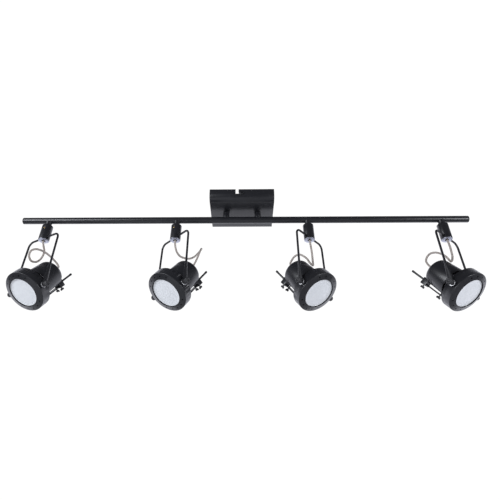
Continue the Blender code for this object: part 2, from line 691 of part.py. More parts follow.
# ------------------------------------------------------------------- cables
def smooth_route(points, step):
    """Points at an even step along a centripetal Catmull-Rom curve."""
    route = [points[0] * 2 - points[1], *points, points[-1] * 2 - points[-2]]
    fine = []
    for i in range(1, len(route) - 2):
        p0, p1, p2, p3 = route[i - 1:i + 3]
        t1 = (p1 - p0).length ** 0.5
        t2 = t1 + (p2 - p1).length ** 0.5
        t3 = t2 + (p3 - p2).length ** 0.5
        for part in range(24):
            t = t1 + (t2 - t1) * part / 24
            a1 = p0 * ((t1 - t) / t1) + p1 * (t / t1)
            a2 = p1 * ((t2 - t) / (t2 - t1)) + p2 * ((t - t1) / (t2 - t1))
            a3 = p2 * ((t3 - t) / (t3 - t2)) + p3 * ((t - t2) / (t3 - t2))
            b1 = a1 * ((t2 - t) / t2) + a2 * (t / t2)
            b2 = a2 * ((t3 - t) / (t3 - t1)) + a3 * ((t - t1) / (t3 - t1))
            fine.append(b1 * ((t2 - t) / (t2 - t1)) + b2 * ((t - t1) / (t2 - t1)))
    fine.append(points[-1])
    lengths = [(b - a).length for a, b in zip(fine, fine[1:])]
    count = max(2, round(sum(lengths) / step))
    target = sum(lengths) / count
    even, travelled, wanted = [fine[0]], 0.0, target
    for start, end, length in zip(fine, fine[1:], lengths):
        while travelled + length >= wanted and len(even) < count:
            even.append(start.lerp(end, (wanted - travelled) / length))
            wanted += target
        travelled += length
    return even + [fine[-1]]


def lamp_cable(name, head):
    """A braided cable from the hub's outlet to the gland behind the cup."""
    start = Vector((0, 0, -HUB_BOTTOM + OUTLET_DEPTH - GAP))
    tilt = Matrix.Rotation(math.radians(TILT[head]), 3, "X")
    drop = Vector((0, 0, -PIVOT_DROP))
    gland_end = CUP_REAR + GLAND_LENGTH + GAP
    leads = [drop + tilt @ Vector((0, gland_end + lead, 0))
             for lead in (0.009, 0.0)]
    points = [start] + [Vector(point) for point in CABLE_ROUTES[head]] + leads
    curve = bpy.data.curves.new(name, "CURVE")
    curve.dimensions = "3D"
    curve.bevel_depth = CABLE_RADIUS
    curve.bevel_resolution = 2
    curve.use_fill_caps = True
    path = smooth_route(points, CABLE_STEP)
    spline = curve.splines.new("POLY")
    spline.points.add(len(path) - 1)
    for target, point in zip(spline.points, path):
        target.co = (*point, 1.0)
    return curve


# ----------------------------------------------------------------- assembly
def build():
    for item in list(bpy.data.objects):
        bpy.data.objects.remove(item)

    black = finish("black_powder_coat", (0.028, 0.028, 0.032), 0.42)
    black_metal = finish("black_steel", (0.022, 0.022, 0.025), 0.35, 0.6)
    zinc = finish("zinc_plate", (0.62, 0.62, 0.60), 0.35, 1.0)
    ceramic = finish("terminal_plastic", (0.82, 0.80, 0.76), 0.5)
    lamp_white = finish("lamp_white", (0.80, 0.81, 0.82), 0.4)
    knob_black = finish("knob_plastic", (0.020, 0.020, 0.022), 0.5)
    braid = finish("braided_sleeve", (0.42, 0.36, 0.30), 0.6)

    place("canopy_cover", canopy_cover(), black)
    place("mounting_bracket", mounting_bracket(), zinc)
    screw = canopy_screw()
    seat = CANOPY_DEPTH / 2 + GAP
    place("canopy_screw_front", screw, black_metal, at=(0, -seat, -SCREW_DROP))
    back = place("canopy_screw_back", screw, black_metal,
                 at=(0, seat, -SCREW_DROP))
    back.rotation_euler = (0, 0, math.pi)
    place("terminal_block", terminal_block(), ceramic)
    place("bar_tube", bar_tube(), black, at=(0, 0, -BAR_DROP))
    post = canopy_post()
    place("canopy_post_left", post, black, at=(-POST_SPACING / 2, 0, 0))
    place("canopy_post_right", post, black, at=(POST_SPACING / 2, 0, 0))

    hub = swivel_hub()
    bail = yoke()
    head_pieces = (
        ("bezel_ring", bezel_ring(), black),
        ("reflector_lamp", reflector_lamp(), lamp_white),
        ("lampholder", lampholder(), ceramic),
        ("rear_cup", rear_cup(), black),
        ("pivot_knob_left", pivot_knob("-X"), knob_black),
        ("pivot_knob_right", pivot_knob("X"), knob_black),
        ("support_rail", support_rail(), black_metal),
        ("clamp_block", clamp_block(), black),
        ("aiming_rod", aiming_rod(), black_metal),
    )
    wings = wing_screw()
    for head, x in enumerate(HEAD_X):
        number = head + 1
        swivel = pivot(f"swivel_axis_{number}", (x, 0, -BAR_DROP),
                       (0, 0, math.radians(PAN[head])))
        place(f"swivel_hub_{number}", hub, black, swivel)
        place(f"yoke_{number}", bail, black_metal, swivel)
        tilt = pivot(f"tilt_axis_{number}", (0, 0, -PIVOT_DROP),
                     (math.radians(TILT[head]), 0, 0), swivel)
        for name, mesh, material in head_pieces:
            place(f"{name}_{number}", mesh, material, tilt)
        place(f"wing_screw_{number}", wings, black_metal, tilt, (0, WING_Y, 0))
        name = f"lamp_cable_{number}"
        place(name, lamp_cable(name, head), braid, swivel)


build()
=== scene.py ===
# %% [markdown]
# # A ceiling spotlight bar with four heads
#
# A slim round tube hangs from a canopy on two short posts. Four swivels hang
# from the tube, and each carries a bent-rod yoke, a drum-shaped lamp head and
# a braided cable that loops from the swivel to the back of the head. The CAD
# model gives every size, place and joint. This script makes the fine surfaces
# round it, one kind of piece at a time, and gives each its finish.

# %% Load the frame
import json
import math

import bmesh
import bpy
from mathutils import Matrix, Vector


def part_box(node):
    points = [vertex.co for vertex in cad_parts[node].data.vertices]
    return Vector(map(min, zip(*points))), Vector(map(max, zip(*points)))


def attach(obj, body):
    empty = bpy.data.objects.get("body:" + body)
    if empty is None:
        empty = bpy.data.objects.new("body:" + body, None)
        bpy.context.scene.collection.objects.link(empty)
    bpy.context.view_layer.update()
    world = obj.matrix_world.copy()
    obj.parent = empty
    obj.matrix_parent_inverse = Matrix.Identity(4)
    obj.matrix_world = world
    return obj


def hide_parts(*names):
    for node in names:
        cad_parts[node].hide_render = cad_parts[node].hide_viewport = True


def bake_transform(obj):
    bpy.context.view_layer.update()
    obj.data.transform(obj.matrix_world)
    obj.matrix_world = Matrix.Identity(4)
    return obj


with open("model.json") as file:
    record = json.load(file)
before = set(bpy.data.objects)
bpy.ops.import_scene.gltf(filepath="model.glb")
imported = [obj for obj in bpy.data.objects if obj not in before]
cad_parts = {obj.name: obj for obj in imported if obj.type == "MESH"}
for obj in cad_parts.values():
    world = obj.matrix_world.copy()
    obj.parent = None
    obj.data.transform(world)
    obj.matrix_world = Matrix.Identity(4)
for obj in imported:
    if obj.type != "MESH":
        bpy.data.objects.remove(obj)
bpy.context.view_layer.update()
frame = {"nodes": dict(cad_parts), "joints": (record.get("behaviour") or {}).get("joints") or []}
joints = {joint["name"]: joint for joint in frame["joints"]}
HEADS = range(1, 5)
MM = 0.001
print("CAD nodes:", len(frame["nodes"]), "joints:", len(joints))

# %% [markdown]
# ## The camera
#
# The fixture is seen from below and in front, as someone standing in the room
# sees it. The lens is a moderate wide angle, and a small shift frames the bar
# a little left of the middle.

# %% Camera
CAMERA_PLACE = (0.0046, -0.9856, -0.7507)
CAMERA_YAW = 2.206
CAMERA_PITCH = 32.93
CAMERA_ROLL = 1.020


def turn(degrees, axis):
    return Matrix.Rotation(math.radians(degrees), 4, axis)


camera_data = bpy.data.cameras.new("camera")
camera_data.sensor_width = 36.0
camera_data.lens = 28.9
camera_data.shift_x = 0.0389
camera_data.shift_y = -0.0297
camera_data.clip_start = 0.01
camera = bpy.data.objects.new("camera", camera_data)
bpy.context.scene.collection.objects.link(camera)
camera.matrix_world = (Matrix.Translation(CAMERA_PLACE) @ turn(CAMERA_YAW, "Z")
                       @ turn(90 + CAMERA_PITCH, "X") @ turn(CAMERA_ROLL, "Z"))
bpy.context.scene.camera = camera
bpy.context.scene.view_settings.view_transform = "Standard"
print("camera at, m:", CAMERA_PLACE)

# %% [markdown]
# ## Where each head is
#
# The joints say it all: a pan joint stands on each swivel's vertical axis, and
# a tilt joint lies along each yoke's pivot. A swivel's own space has its
# origin on the bar's axis and X along the tilt axis. A head's own space has
# its origin on the tilt axis, +Y to the rear of the lamp and +Z to its top.
# A piece is modelled once in one of these spaces, and its copies are moved
# into place through their meshes, so that every object stays at the origin.

# %% Head and swivel spaces
bar_low, bar_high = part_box("bar_tube")
BAR_RADIUS = 10.0 * MM
BAR_AXIS = bar_high.z - BAR_RADIUS
BAR_HALF = bar_high.x

swivel_space = {}
head_space = {}
for number in HEADS:
    tilt = joints[f"tilt_{number}"]
    across = Vector(tilt["axis"])
    pan_angle = math.degrees(math.atan2(across.y, across.x))
    tilt_angle = -tilt["range_deg"][0]
    pivot = Vector(tilt["pos_m"])
    swivel_space[number] = (Matrix.Translation((pivot.x, 0.0, BAR_AXIS))
                            @ turn(pan_angle, "Z"))
    head_space[number] = (Matrix.Translation(pivot) @ turn(pan_angle, "Z")
                          @ turn(tilt_angle, "X"))
PIVOT_DROP = (BAR_AXIS - joints["tilt_1"]["pos_m"][2]) / MM
print("tilt axis below the bar's axis, mm:", round(PIVOT_DROP, 1))

# %% [markdown]
# ## The cables
#
# Each head is fed by a short braided cable, 6 mm thick. It leaves the hole in
# the swivel's lower face, falls into the loop it was left with, and enters the
# gland behind the lamp cup, so the head can turn and tilt without pulling it.
# The route is one smooth curve through chosen points. The sleeve is a tube of
# many sides whose surface is lifted where a strand of the braid passes over
# another, and its UV map runs round and along it, so that the strands' colours
# follow the same weave, with painted shade in the gaps between strands.

# %% Cable routes
CABLE_RADIUS = 3.0 * MM
CABLE_START = -68.3     # below the bar's axis, just inside the outlet
GLAND_END = 104.3       # behind the tilt axis
GLAND_LEAD = 9.0

# Points in each swivel's space, in millimetres.
CABLE_ROUTES = {
    1: ((0, 1, -78), (-1, 7, -88), (-3, 14, -98), (-4, 15, -112), (-4, 10, -129),
        (-2, -2, -143), (0, -18, -147), (2, -29, -137), (4, -29, -122),
        (5, -18, -111), (5, -1, -106), (2, 17, -104), (-5, 38, -103),
        (-11, 56, -104), (-11, 70, -110), (-7, 76, -120)),
    2: ((0, 1, -81), (0, 4, -94), (-1, 11, -106), (-3, 24, -113), (-6, 44, -111),
        (-10, 64, -103), (-13, 82, -89), (-14, 94, -74), (-9, 100, -63),
        (0, 98, -60), (9, 91, -66), (12, 84, -80), (11, 78, -101), (6, 74, -118)),
    3: ((0, -1, -82), (2, -1, -98), (7, 1, -112), (12, 4, -128), (12, 4, -141),
        (6, 1, -151), (-4, -1, -154), (-11, 1, -149), (-11, 8, -135),
        (-8, 20, -121), (-6, 31, -111), (-4, 44, -106), (-2, 56, -107),
        (0, 66, -113), (0, 72, -122)),
    4: ((0, -1, -81), (2, -1, -95), (6, 1, -109), (11, 4, -121), (10, 7, -131),
        (4, 9, -137), (-5, 9, -136), (-11, 11, -129), (-11, 17, -119),
        (-8, 27, -108), (-5, 40, -98), (-2, 55, -94), (0, 67, -99),
        (0, 73, -110), (0, 71, -121)),
}


def smooth_route(points, step):
    """Points at an even step along a centripetal Catmull-Rom curve."""
    route = [points[0] * 2 - points[1], *points, points[-1] * 2 - points[-2]]
    fine = []
    for i in range(1, len(route) - 2):
        p0, p1, p2, p3 = route[i - 1:i + 3]
        t1 = (p1 - p0).length ** 0.5
        t2 = t1 + (p2 - p1).length ** 0.5
        t3 = t2 + (p3 - p2).length ** 0.5
        for part in range(24):
            t = t1 + (t2 - t1) * part / 24
            a1 = p0 * ((t1 - t) / t1) + p1 * (t / t1)
            a2 = p1 * ((t2 - t) / (t2 - t1)) + p2 * ((t - t1) / (t2 - t1))
            a3 = p2 * ((t3 - t) / (t3 - t2)) + p3 * ((t - t2) / (t3 - t2))
            b1 = a1 * ((t2 - t) / t2) + a2 * (t / t2)
            b2 = a2 * ((t3 - t) / (t3 - t1)) + a3 * ((t - t1) / (t3 - t1))
            fine.append(b1 * ((t2 - t) / (t2 - t1)) + b2 * ((t - t1) / (t2 - t1)))
    fine.append(points[-1])
    lengths = [(b - a).length for a, b in zip(fine, fine[1:])]
    count = max(2, round(sum(lengths) / step))
    target = sum(lengths) / count
    even, travelled, wanted = [fine[0]], 0.0, target
    for start, end, length in zip(fine, fine[1:], lengths):
        while travelled + length >= wanted and len(even) < count:
            even.append(start.lerp(end, (wanted - travelled) / length))
            wanted += target
        travelled += length
    return even + [fine[-1]]


def cable_path(number, step):
    """A cable's centreline in the frame, from its outlet to its gland."""
    to_swivel = swivel_space[number].inverted() @ head_space[number]
    leads = [to_swivel @ Vector((0, (GLAND_END + lead) * MM, 0))
             for lead in (GLAND_LEAD, 0.0)]
    points = [Vector((0, 0, CABLE_START)) * MM]
    points += [Vector(point) * MM for point in CABLE_ROUTES[number]] + leads
    return [swivel_space[number] @ p for p in smooth_route(points, step)]


def path_length(path):
    return sum((b - a).length for a, b in zip(path, path[1:]))


# %% Braided tubes
BRAID_SIDES = 32
BRAID_STRANDS = 8       # each way round the sleeve
BRAID_PITCH = 11.0 * MM     # length of one strand's turn
BRAID_HEIGHT = 0.16 * MM
BRAID_STEP = 0.8 * MM


def braid(around, along):
    """How far the sleeve's surface stands up at a place, from 0 to 1."""
    turns = along / BRAID_PITCH
    left = math.cos(2 * math.pi * (around - turns) * BRAID_STRANDS)
    right = math.cos(2 * math.pi * (around + turns) * BRAID_STRANDS)
    return max(left, right) * 0.5 + 0.5


def braided_tube(name, path):
    """A tube round a path, with the braid's relief and a UV map along it."""
    bm = bmesh.new()
    uv = bm.loops.layers.uv.new("sleeve")
    side = Vector((1, 0, 0))
    rings = []
    along = 0.0
    for i, middle in enumerate(path):
        ahead = (path[min(i + 1, len(path) - 1)] - path[max(i - 1, 0)]).normalized()
        side = (side - ahead * side.dot(ahead)).normalized()
        up = ahead.cross(side)
        if i:
            along += (middle - path[i - 1]).length
        ring = []
        for k in range(BRAID_SIDES):
            around = k / BRAID_SIDES
            angle = 2 * math.pi * around
            reach = CABLE_RADIUS - BRAID_HEIGHT * (1 - braid(around, along))
            direction = side * math.cos(angle) + up * math.sin(angle)
            ring.append(bm.verts.new(middle + direction * reach))
        rings.append((ring, along))
    for (first, low), (second, high) in zip(rings, rings[1:]):
        for k in range(BRAID_SIDES):
            after = (k + 1) % BRAID_SIDES
            face = bm.faces.new((first[k], first[after], second[after], second[k]))
            face.smooth = True
            corners = ((k, low), (k + 1, low), (k + 1, high), (k, high))
            for loop, (column, height) in zip(face.loops, corners):
                loop[uv].uv = (column / BRAID_SIDES, height / BRAID_PITCH)
    bm.faces.new(reversed(rings[0][0]))
    bm.faces.new(rings[-1][0])
    mesh = bpy.data.meshes.new(name)
    bm.to_mesh(mesh)
    bm.free()
    piece = bpy.data.objects.new(name, mesh)
    bpy.context.scene.collection.objects.link(piece)
    return piece


# %% Lay the cables
cables = []
for number in HEADS:
    path = cable_path(number, BRAID_STEP)
    cable = braided_tube(f"braided_cable_{number}", path)
    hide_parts(f"lamp_cable_{number}")
    path_length(path)
    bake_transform(cable)
    cables.append(cable)
    print(cable.name, "length, mm:", round(path_length(path) / MM))

# %% [markdown]
# ## Hand tools
#
# A few short helpers stand for what a hand does in Blender: select one piece,
# work on it in edit mode, cut it with another, round its edges. Most pieces of
# a lamp are turned, so the main helper draws a profile by extruding a single
# point from place to place, then spins the line about an axis. Profiles are
# lists of (radius, height) in millimetres.

# %% Selecting and finishing pieces
def only(piece):
    """Select one piece and nothing else."""
    bpy.ops.object.select_all(action="DESELECT")
    piece.select_set(True)
    bpy.context.view_layer.objects.active = piece


def copied(piece, name):
    """A copy of a piece with a mesh of its own."""
    only(piece)
    bpy.ops.object.duplicate(linked=False)
    copy = bpy.context.object
    copy.name = name
    return copy


def shifted(piece, x, y, z):
    """Move a piece's mesh, in millimetres."""
    piece.data.transform(Matrix.Translation(Vector((x, y, z)) * MM))
    return piece


def edit(piece, mode="VERT"):
    """Enter edit mode on a piece with nothing selected."""
    only(piece)
    bpy.ops.object.mode_set(mode="EDIT")
    bpy.ops.mesh.select_mode(type=mode)
    bpy.ops.mesh.select_all(action="DESELECT")


def leave():
    bpy.ops.object.mode_set(mode="OBJECT")


def pick(piece, items, test):
    """Select the vertices, edges or faces of a piece that pass a test."""
    leave()
    for item in getattr(piece.data, items):
        item.select = test(item)
    bpy.ops.object.mode_set(mode="EDIT")


def outward(piece):
    """Merge doubles and point every face outwards."""
    edit(piece)
    bpy.ops.mesh.select_all(action="SELECT")
    bpy.ops.mesh.remove_doubles(threshold=0.000005)
    bpy.ops.mesh.normals_make_consistent(inside=False)
    leave()
    return piece


def apply_modifier(piece, kind, **settings):
    """Add a modifier with its settings and apply it."""
    modifier = piece.modifiers.new("step", kind)
    for key, value in settings.items():
        setattr(modifier, key, value)
    only(piece)
    bpy.ops.object.modifier_apply(modifier=modifier.name)
    return piece


def carve(piece, tool, operation="DIFFERENCE"):
    """Cut a tool from a piece, or join it, and throw the tool away."""
    apply_modifier(piece, "BOOLEAN", object=tool, operation=operation,
                   solver="EXACT")
    bpy.data.objects.remove(tool)
    return piece


def rounded(piece, width, segments=2, angle=40):
    """Round the sharp edges by a width in millimetres and shade smooth."""
    apply_modifier(piece, "BEVEL", width=width * MM, segments=segments,
                   limit_method="ANGLE", angle_limit=math.radians(angle),
                   miter_outer="MITER_ARC", harden_normals=False)
    only(piece)
    bpy.ops.object.shade_smooth_by_angle(angle=math.radians(38))
    return piece


# %% Turning, blocks and joining
PLANES = {"X": (lambda r, h: Vector((h, 0, r)) * MM, (1, 0, 0)),
          "Y": (lambda r, h: Vector((r, h, 0)) * MM, (0, 1, 0)),
          "Z": (lambda r, h: Vector((r, 0, h)) * MM, (0, 0, 1))}


def drawn(name, points):
    """A line drawn by extruding one point from place to place."""
    bpy.ops.object.select_all(action="DESELECT")
    bpy.ops.mesh.primitive_plane_add(size=MM)
    piece = bpy.context.object
    piece.name = name
    edit(piece)
    bpy.ops.mesh.select_all(action="SELECT")
    bpy.ops.mesh.merge(type="CENTER")
    bpy.ops.transform.translate(value=points[0])
    for before, after in zip(points, points[1:]):
        bpy.ops.mesh.extrude_region_move(
            TRANSFORM_OT_translate={"value": after - before})
    leave()
    return piece


def turned(name, profile, axis="Z", steps=64, closed=False):
    """Draw a profile and spin the line about an axis."""
    to_point, spin_axis = PLANES[axis]
    points = [to_point(*pair) for pair in profile]
    if closed:
        points.append(points[0])
    piece = drawn(name, points)
    edit(piece)
    bpy.ops.mesh.select_all(action="SELECT")
    bpy.ops.mesh.spin(steps=steps, angle=2 * math.pi, center=(0, 0, 0),
                      axis=spin_axis)
    leave()
    return outward(piece)


def block(name, low, high):
    """A box between two corners, in millimetres."""
    low, high = Vector(low) * MM, Vector(high) * MM
    bpy.ops.object.select_all(action="DESELECT")
    bpy.ops.mesh.primitive_cube_add(size=1.0, location=(low + high) / 2,
                                    scale=high - low)
    piece = bpy.context.object
    piece.name = name
    bpy.ops.object.transform_apply(location=True, rotation=True, scale=True)
    return piece


def joined(first, *others):
    """Several objects as one."""
    bpy.ops.object.select_all(action="DESELECT")
    for item in (first, *others):
        item.select_set(True)
    bpy.context.view_layer.objects.active = first
    bpy.ops.object.join()
    return first


def arc(middle, radius, start, end, steps):
    """Profile points along an arc, angles in degrees from the radius axis."""
    angles = [math.radians(start + (end - start) * i / steps)
              for i in range(steps + 1)]
    return [(middle[0] + radius * math.cos(a), middle[1] + radius * math.sin(a))
            for a in angles]


# %% [markdown]
# A finished piece is fixed to its CAD body here, or copied once to each head.
# Each copy has a mesh of its own, moved by its head's or swivel's space.

# %% Placing pieces
def fix(piece, finish, slot, body, *nodes):
    """Give a piece its finish and ride it on a body in place of CAD nodes."""
    piece.data.materials.clear()
    piece.data.materials.append(finish)
    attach(piece, body)
    if nodes:
        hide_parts(*nodes)
    return piece


def per_head(piece, spaces, finish, slot, body, *nodes):
    """Copy a piece to every head. Names in body and nodes end in a number."""
    made = []
    for number in HEADS:
        copy = copied(piece, f"{piece.name}_{number}")
        copy.data.transform(spaces[number])
        fix(copy, finish, slot, f"{body}_{number}",
            *[f"{node}_{number}" for node in nodes])
        made.append(copy)
    bpy.data.objects.remove(piece)
    print(made[0].name, "faces each:", len(made[0].data.polygons))
    return made


# %% [markdown]
# ## Materials
#
# Every finish is procedural and reads Object coordinates, which are metres on
# the real piece, so a grain of half a millimetre is a noise scale of about
# two thousand. A small class lets Python's own operators build the Math nodes,
# and one method adds every other node.

# %% Shader maths
class Value:
    """One output in a material's nodes, which Python's operators work on."""

    def __init__(self, finish, socket):
        self.finish = finish
        self.socket = socket

    def math(self, operation, first, second=None):
        sockets = {0: first} if second is None else {0: first, 1: second}
        return self.finish.node("ShaderNodeMath", {"operation": operation}, sockets)

    def output(self, index):
        """Another output of the same node."""
        return Value(self.finish, self.socket.node.outputs[index])

    def __add__(self, other):
        return self.math("ADD", self, other)

    __radd__ = __add__

    def __sub__(self, other):
        return self.math("SUBTRACT", self, other)

    def __rsub__(self, other):
        return self.math("SUBTRACT", other, self)

    def __mul__(self, other):
        return self.math("MULTIPLY", self, other)

    __rmul__ = __mul__

    def cosine(self):
        return self.math("COSINE", self)

    def maximum(self, other):
        return self.math("MAXIMUM", self, other)


class Finish:
    """A material with a Principled shader, its uniform values set on it."""

    def __init__(self, name, color, **uniform):
        self.material = bpy.data.materials.new(name)
        self.material.use_nodes = True
        self.material.diffuse_color = (*color, 1.0)
        self.tree = self.material.node_tree
        self.shader = self.tree.nodes["Principled BSDF"]
        self.shader.inputs["Base Color"].default_value = (*color, 1.0)
        for key, value in uniform.items():
            self.shader.inputs[key.replace("_", " ").title()].default_value = value

    def join(self, value, target):
        if isinstance(value, Value):
            self.tree.links.new(value.socket, target)
        else:
            target.default_value = value

    def node(self, kind, settings=None, sockets=None, output=0):
        """Add a node: its settings first, then its sockets' values or links."""
        made = self.tree.nodes.new(kind)
        for key, value in (settings or {}).items():
            if key == "stops":
                ramp = made.color_ramp
                while len(ramp.elements) < len(value):
                    ramp.elements.new(0.5)
                for element, (place, shade) in zip(ramp.elements, value):
                    element.position = place
                    element.color = (*shade, 1.0)
            else:
                setattr(made, key, value)
        for key, value in (sockets or {}).items():
            self.join(value, made.inputs[key])
        return Value(self, made.outputs[output])

    def feed(self, socket, value):
        self.join(value, self.shader.inputs[socket])

    def place(self):
        return self.node("ShaderNodeTexCoord", output="Object")

    def noise(self, scale, detail=2.0, stretch=None):
        place = self.place()
        if stretch:
            place = self.node("ShaderNodeMapping", sockets={"Vector": place,
                                                            "Scale": stretch})
        return self.node("ShaderNodeTexNoise", sockets={
            "Vector": place, "Scale": scale, "Detail": detail})

    def ramp(self, value, stops):
        return self.node("ShaderNodeValToRGB", {"stops": stops}, {"Fac": value})

    def bump(self, height, distance, strength=1.0):
        self.feed("Normal", self.node("ShaderNodeBump", sockets={
            "Height": height, "Distance": distance, "Strength": strength}))


# %% [markdown]
# The fixture is powder coated: a satin black film with a fine orange peel and
# a hardly visible cloudiness where it is thicker or thinner. Bent and thin
# steel takes the same film a little thinner, so it is smoother.

# %% Black coatings
def black_coat(name, color, gloss, peel):
    """Satin black with orange peel, in grains of about a millimetre."""
    dark = tuple(0.82 * c for c in color)
    light = tuple(1.22 * c for c in color)
    coat = Finish(name, color, roughness=gloss)
    cloud = coat.noise(22.0, 3.0)
    grain = coat.noise(1500.0, 2.0)
    speck = coat.noise(420.0, 4.0)
    coat.feed("Base Color", coat.ramp(cloud * 0.6 + speck * 0.4,
                                      ((0.30, dark), (0.70, light))))
    coat.feed("Roughness", gloss - 0.05 + cloud * 0.06 + grain * 0.06)
    coat.bump(grain * 0.6 + speck * 0.4, peel)
    return coat.material


POWDER = black_coat("black_powder_coat", (0.0125, 0.0130, 0.0160), 0.32, 0.00007)
STEEL = black_coat("black_coated_steel", (0.0105, 0.0110, 0.0135), 0.32, 0.00005)
print(POWDER.name, STEEL.name)


# %% [markdown]
# The small parts each have their own character: bright zinc with its faint
# cloudy crystals, turned brass, moulded plastic with a spark-eroded texture,
# unglazed ceramic, and black rubber for the cable gland.

# %% Small parts' finishes
def metal(name, color, gloss, crystal):
    """A plated or turned metal with faint crystals and hairline marks."""
    dull = tuple(0.80 * c for c in color)
    part = Finish(name, color, roughness=gloss, metallic=1.0)
    cells = part.node("ShaderNodeTexVoronoi", sockets={
        "Vector": part.place(), "Scale": crystal})
    lines = part.noise(300.0, 2.0, stretch=(1.0, 1.0, 9.0))
    part.feed("Base Color", part.ramp(cells * 0.5 + lines * 0.5,
                                      ((0.15, dull), (0.75, color))))
    part.feed("Roughness", gloss - 0.06 + lines * 0.16)
    part.bump(lines, 0.00003, 0.6)
    return part.material


def moulded(name, color, gloss, grain_scale, depth):
    """Plastic, rubber or ceramic with a fine all-over texture."""
    shade = tuple(0.86 * c for c in color)
    part = Finish(name, color, roughness=gloss)
    grain = part.noise(grain_scale, 3.0)
    broad = part.noise(60.0, 2.0)
    part.feed("Base Color", part.ramp(broad * 0.5 + grain * 0.5,
                                      ((0.30, shade), (0.65, color))))
    part.feed("Roughness", gloss - 0.05 + grain * 0.10)
    part.bump(grain, depth)
    return part.material


ZINC = metal("zinc_plate", (0.66, 0.66, 0.67), 0.32, 260.0)
BRASS = metal("brass", (0.72, 0.52, 0.24), 0.26, 500.0)
SATIN = metal("satin_aluminium", (0.50, 0.52, 0.60), 0.34, 300.0)
SILVER = metal("lamp_bowl_silver", (0.88, 0.89, 0.93), 0.30, 90.0)
SILVER.node_tree.nodes["Principled BSDF"].inputs["Metallic"].default_value = 0.4
KNOB = moulded("knob_plastic", (0.030, 0.030, 0.033), 0.50, 1800.0, 0.00008)
RUBBER = moulded("gland_rubber", (0.022, 0.022, 0.023), 0.62, 1300.0, 0.00006)
CERAMIC = moulded("ceramic", (0.82, 0.80, 0.76), 0.55, 900.0, 0.00005)
print("small finishes:", ZINC.name, BRASS.name, SATIN.name, SILVER.name)

# %% [markdown]
# The lamp's front glass is frosted on the inside and has a faint pattern of
# small lenses that spread the light. It is pale and even, with a clear gloss
# over the frosting. Colour and gloss barely vary, and the lenses are a bump.

# %% Frosted glass
def frosted_glass():
    glass = Finish("frosted_glass", (0.86, 0.88, 0.90), roughness=0.34,
                   coat_weight=0.45, coat_roughness=0.12)
    lenses = glass.node("ShaderNodeTexVoronoi", {"feature": "SMOOTH_F1"}, {
        "Vector": glass.place(), "Scale": 420.0, "Smoothness": 0.6})
    cloud = glass.noise(18.0, 2.0)
    glass.feed("Base Color", glass.ramp(lenses * 0.3 + cloud * 0.7, (
        (0.25, (0.835, 0.862, 0.880)), (0.75, (0.875, 0.897, 0.910)))))
    glass.feed("Roughness", 0.30 + cloud * 0.08)
    glass.bump(lenses, 0.00010, 0.35)
    return glass.material


GLASS = frosted_glass()
print(GLASS.name)

# %% [markdown]
# The cable's sleeve is braided from beige and brown threads. The UV map counts
# turns of a strand along the cable, so the same two families of strands that
# shape the surface also colour it, and painted shade darkens the colour in the
# gaps between strands.

# %% Braided sleeve
def braided_sleeve():
    sleeve = Finish("braided_sleeve", (0.46, 0.40, 0.35), roughness=0.62,
                    sheen_weight=0.25, sheen_roughness=0.4)
    uv = sleeve.node("ShaderNodeUVMap", {"uv_map": "sleeve"})
    parts = sleeve.node("ShaderNodeSeparateXYZ", sockets={0: uv})
    around = parts * (2 * math.pi * BRAID_STRANDS)
    along = parts.output(1) * (2 * math.pi * BRAID_STRANDS)
    left = (around - along).cosine()
    right = (around + along).cosine()
    weave = left.maximum(right) * 0.5 + 0.5
    family = (left - right) * 0.25 + 0.5
    fibre = sleeve.noise(2600.0, 3.0)
    worn = sleeve.noise(70.0, 2.0)
    threads = sleeve.ramp(family * 0.75 + worn * 0.25, (
        (0.30, (0.360, 0.300, 0.260)), (0.46, (0.700, 0.640, 0.590)),
        (0.62, (0.860, 0.820, 0.780)), (0.80, (0.440, 0.370, 0.320))))
    # Painted shade: the thread colour is darkened where the weave is low, in the gaps between
    # strands.
    shade = sleeve.ramp(weave * 0.8 + fibre * 0.2, (
        (0.45, (0.42, 0.40, 0.38)), (0.85, (1.0, 1.0, 1.0))))
    color = sleeve.node("ShaderNodeMix", {"data_type": "RGBA",
                                          "blend_type": "MULTIPLY"},
                        {0: 1.0, 6: threads, 7: shade}, output=2)
    sleeve.feed("Base Color", color)
    sleeve.feed("Roughness", 0.55 + fibre * 0.15)
    sleeve.bump(weave * 0.7 + fibre * 0.3, 0.00015)
    return sleeve.material


SLEEVE = braided_sleeve()
for cable in cables:
    cable.data.materials.append(SLEEVE)
print(SLEEVE.name, "on", len(cables), "cables")

# %% [markdown]
# ## The canopy
#
# The canopy is one sheet of steel with its ends welded in. Its front lower edge
# is rolled over a wide radius and its back one is folded tight. A box has those
# two edges bevelled, loses its top face, and gets a wall by Solidify. An
# L-shaped bayonet slot in each long wall hooks over a screw on the bracket.

# %% Canopy shell
canopy_low, canopy_high = (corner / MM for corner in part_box("canopy_cover"))
SHEET = 1.2
canopy = block("canopy_shell", canopy_low, canopy_high)
corner = canopy.data.vertices
for front, radius, steps in ((True, 20.0, 20), (False, 3.0, 5)):
    edit(canopy, "EDGE")
    pick(canopy, "edges", lambda e: all(
        corner[v].co.z / MM < canopy_low.z + 0.01
        and (corner[v].co.y < 0) == front for v in e.vertices)
        and abs(corner[e.vertices[0]].co.x - corner[e.vertices[1]].co.x) > 20 * MM)
    bpy.ops.mesh.bevel(offset=radius * MM, segments=steps)
    leave()
    corner = canopy.data.vertices
edit(canopy, "FACE")
pick(canopy, "polygons", lambda f: f.normal.z > 0.99)
bpy.ops.mesh.delete(type="FACE")
leave()
apply_modifier(canopy, "SOLIDIFY", thickness=SHEET * MM, offset=-1.0)

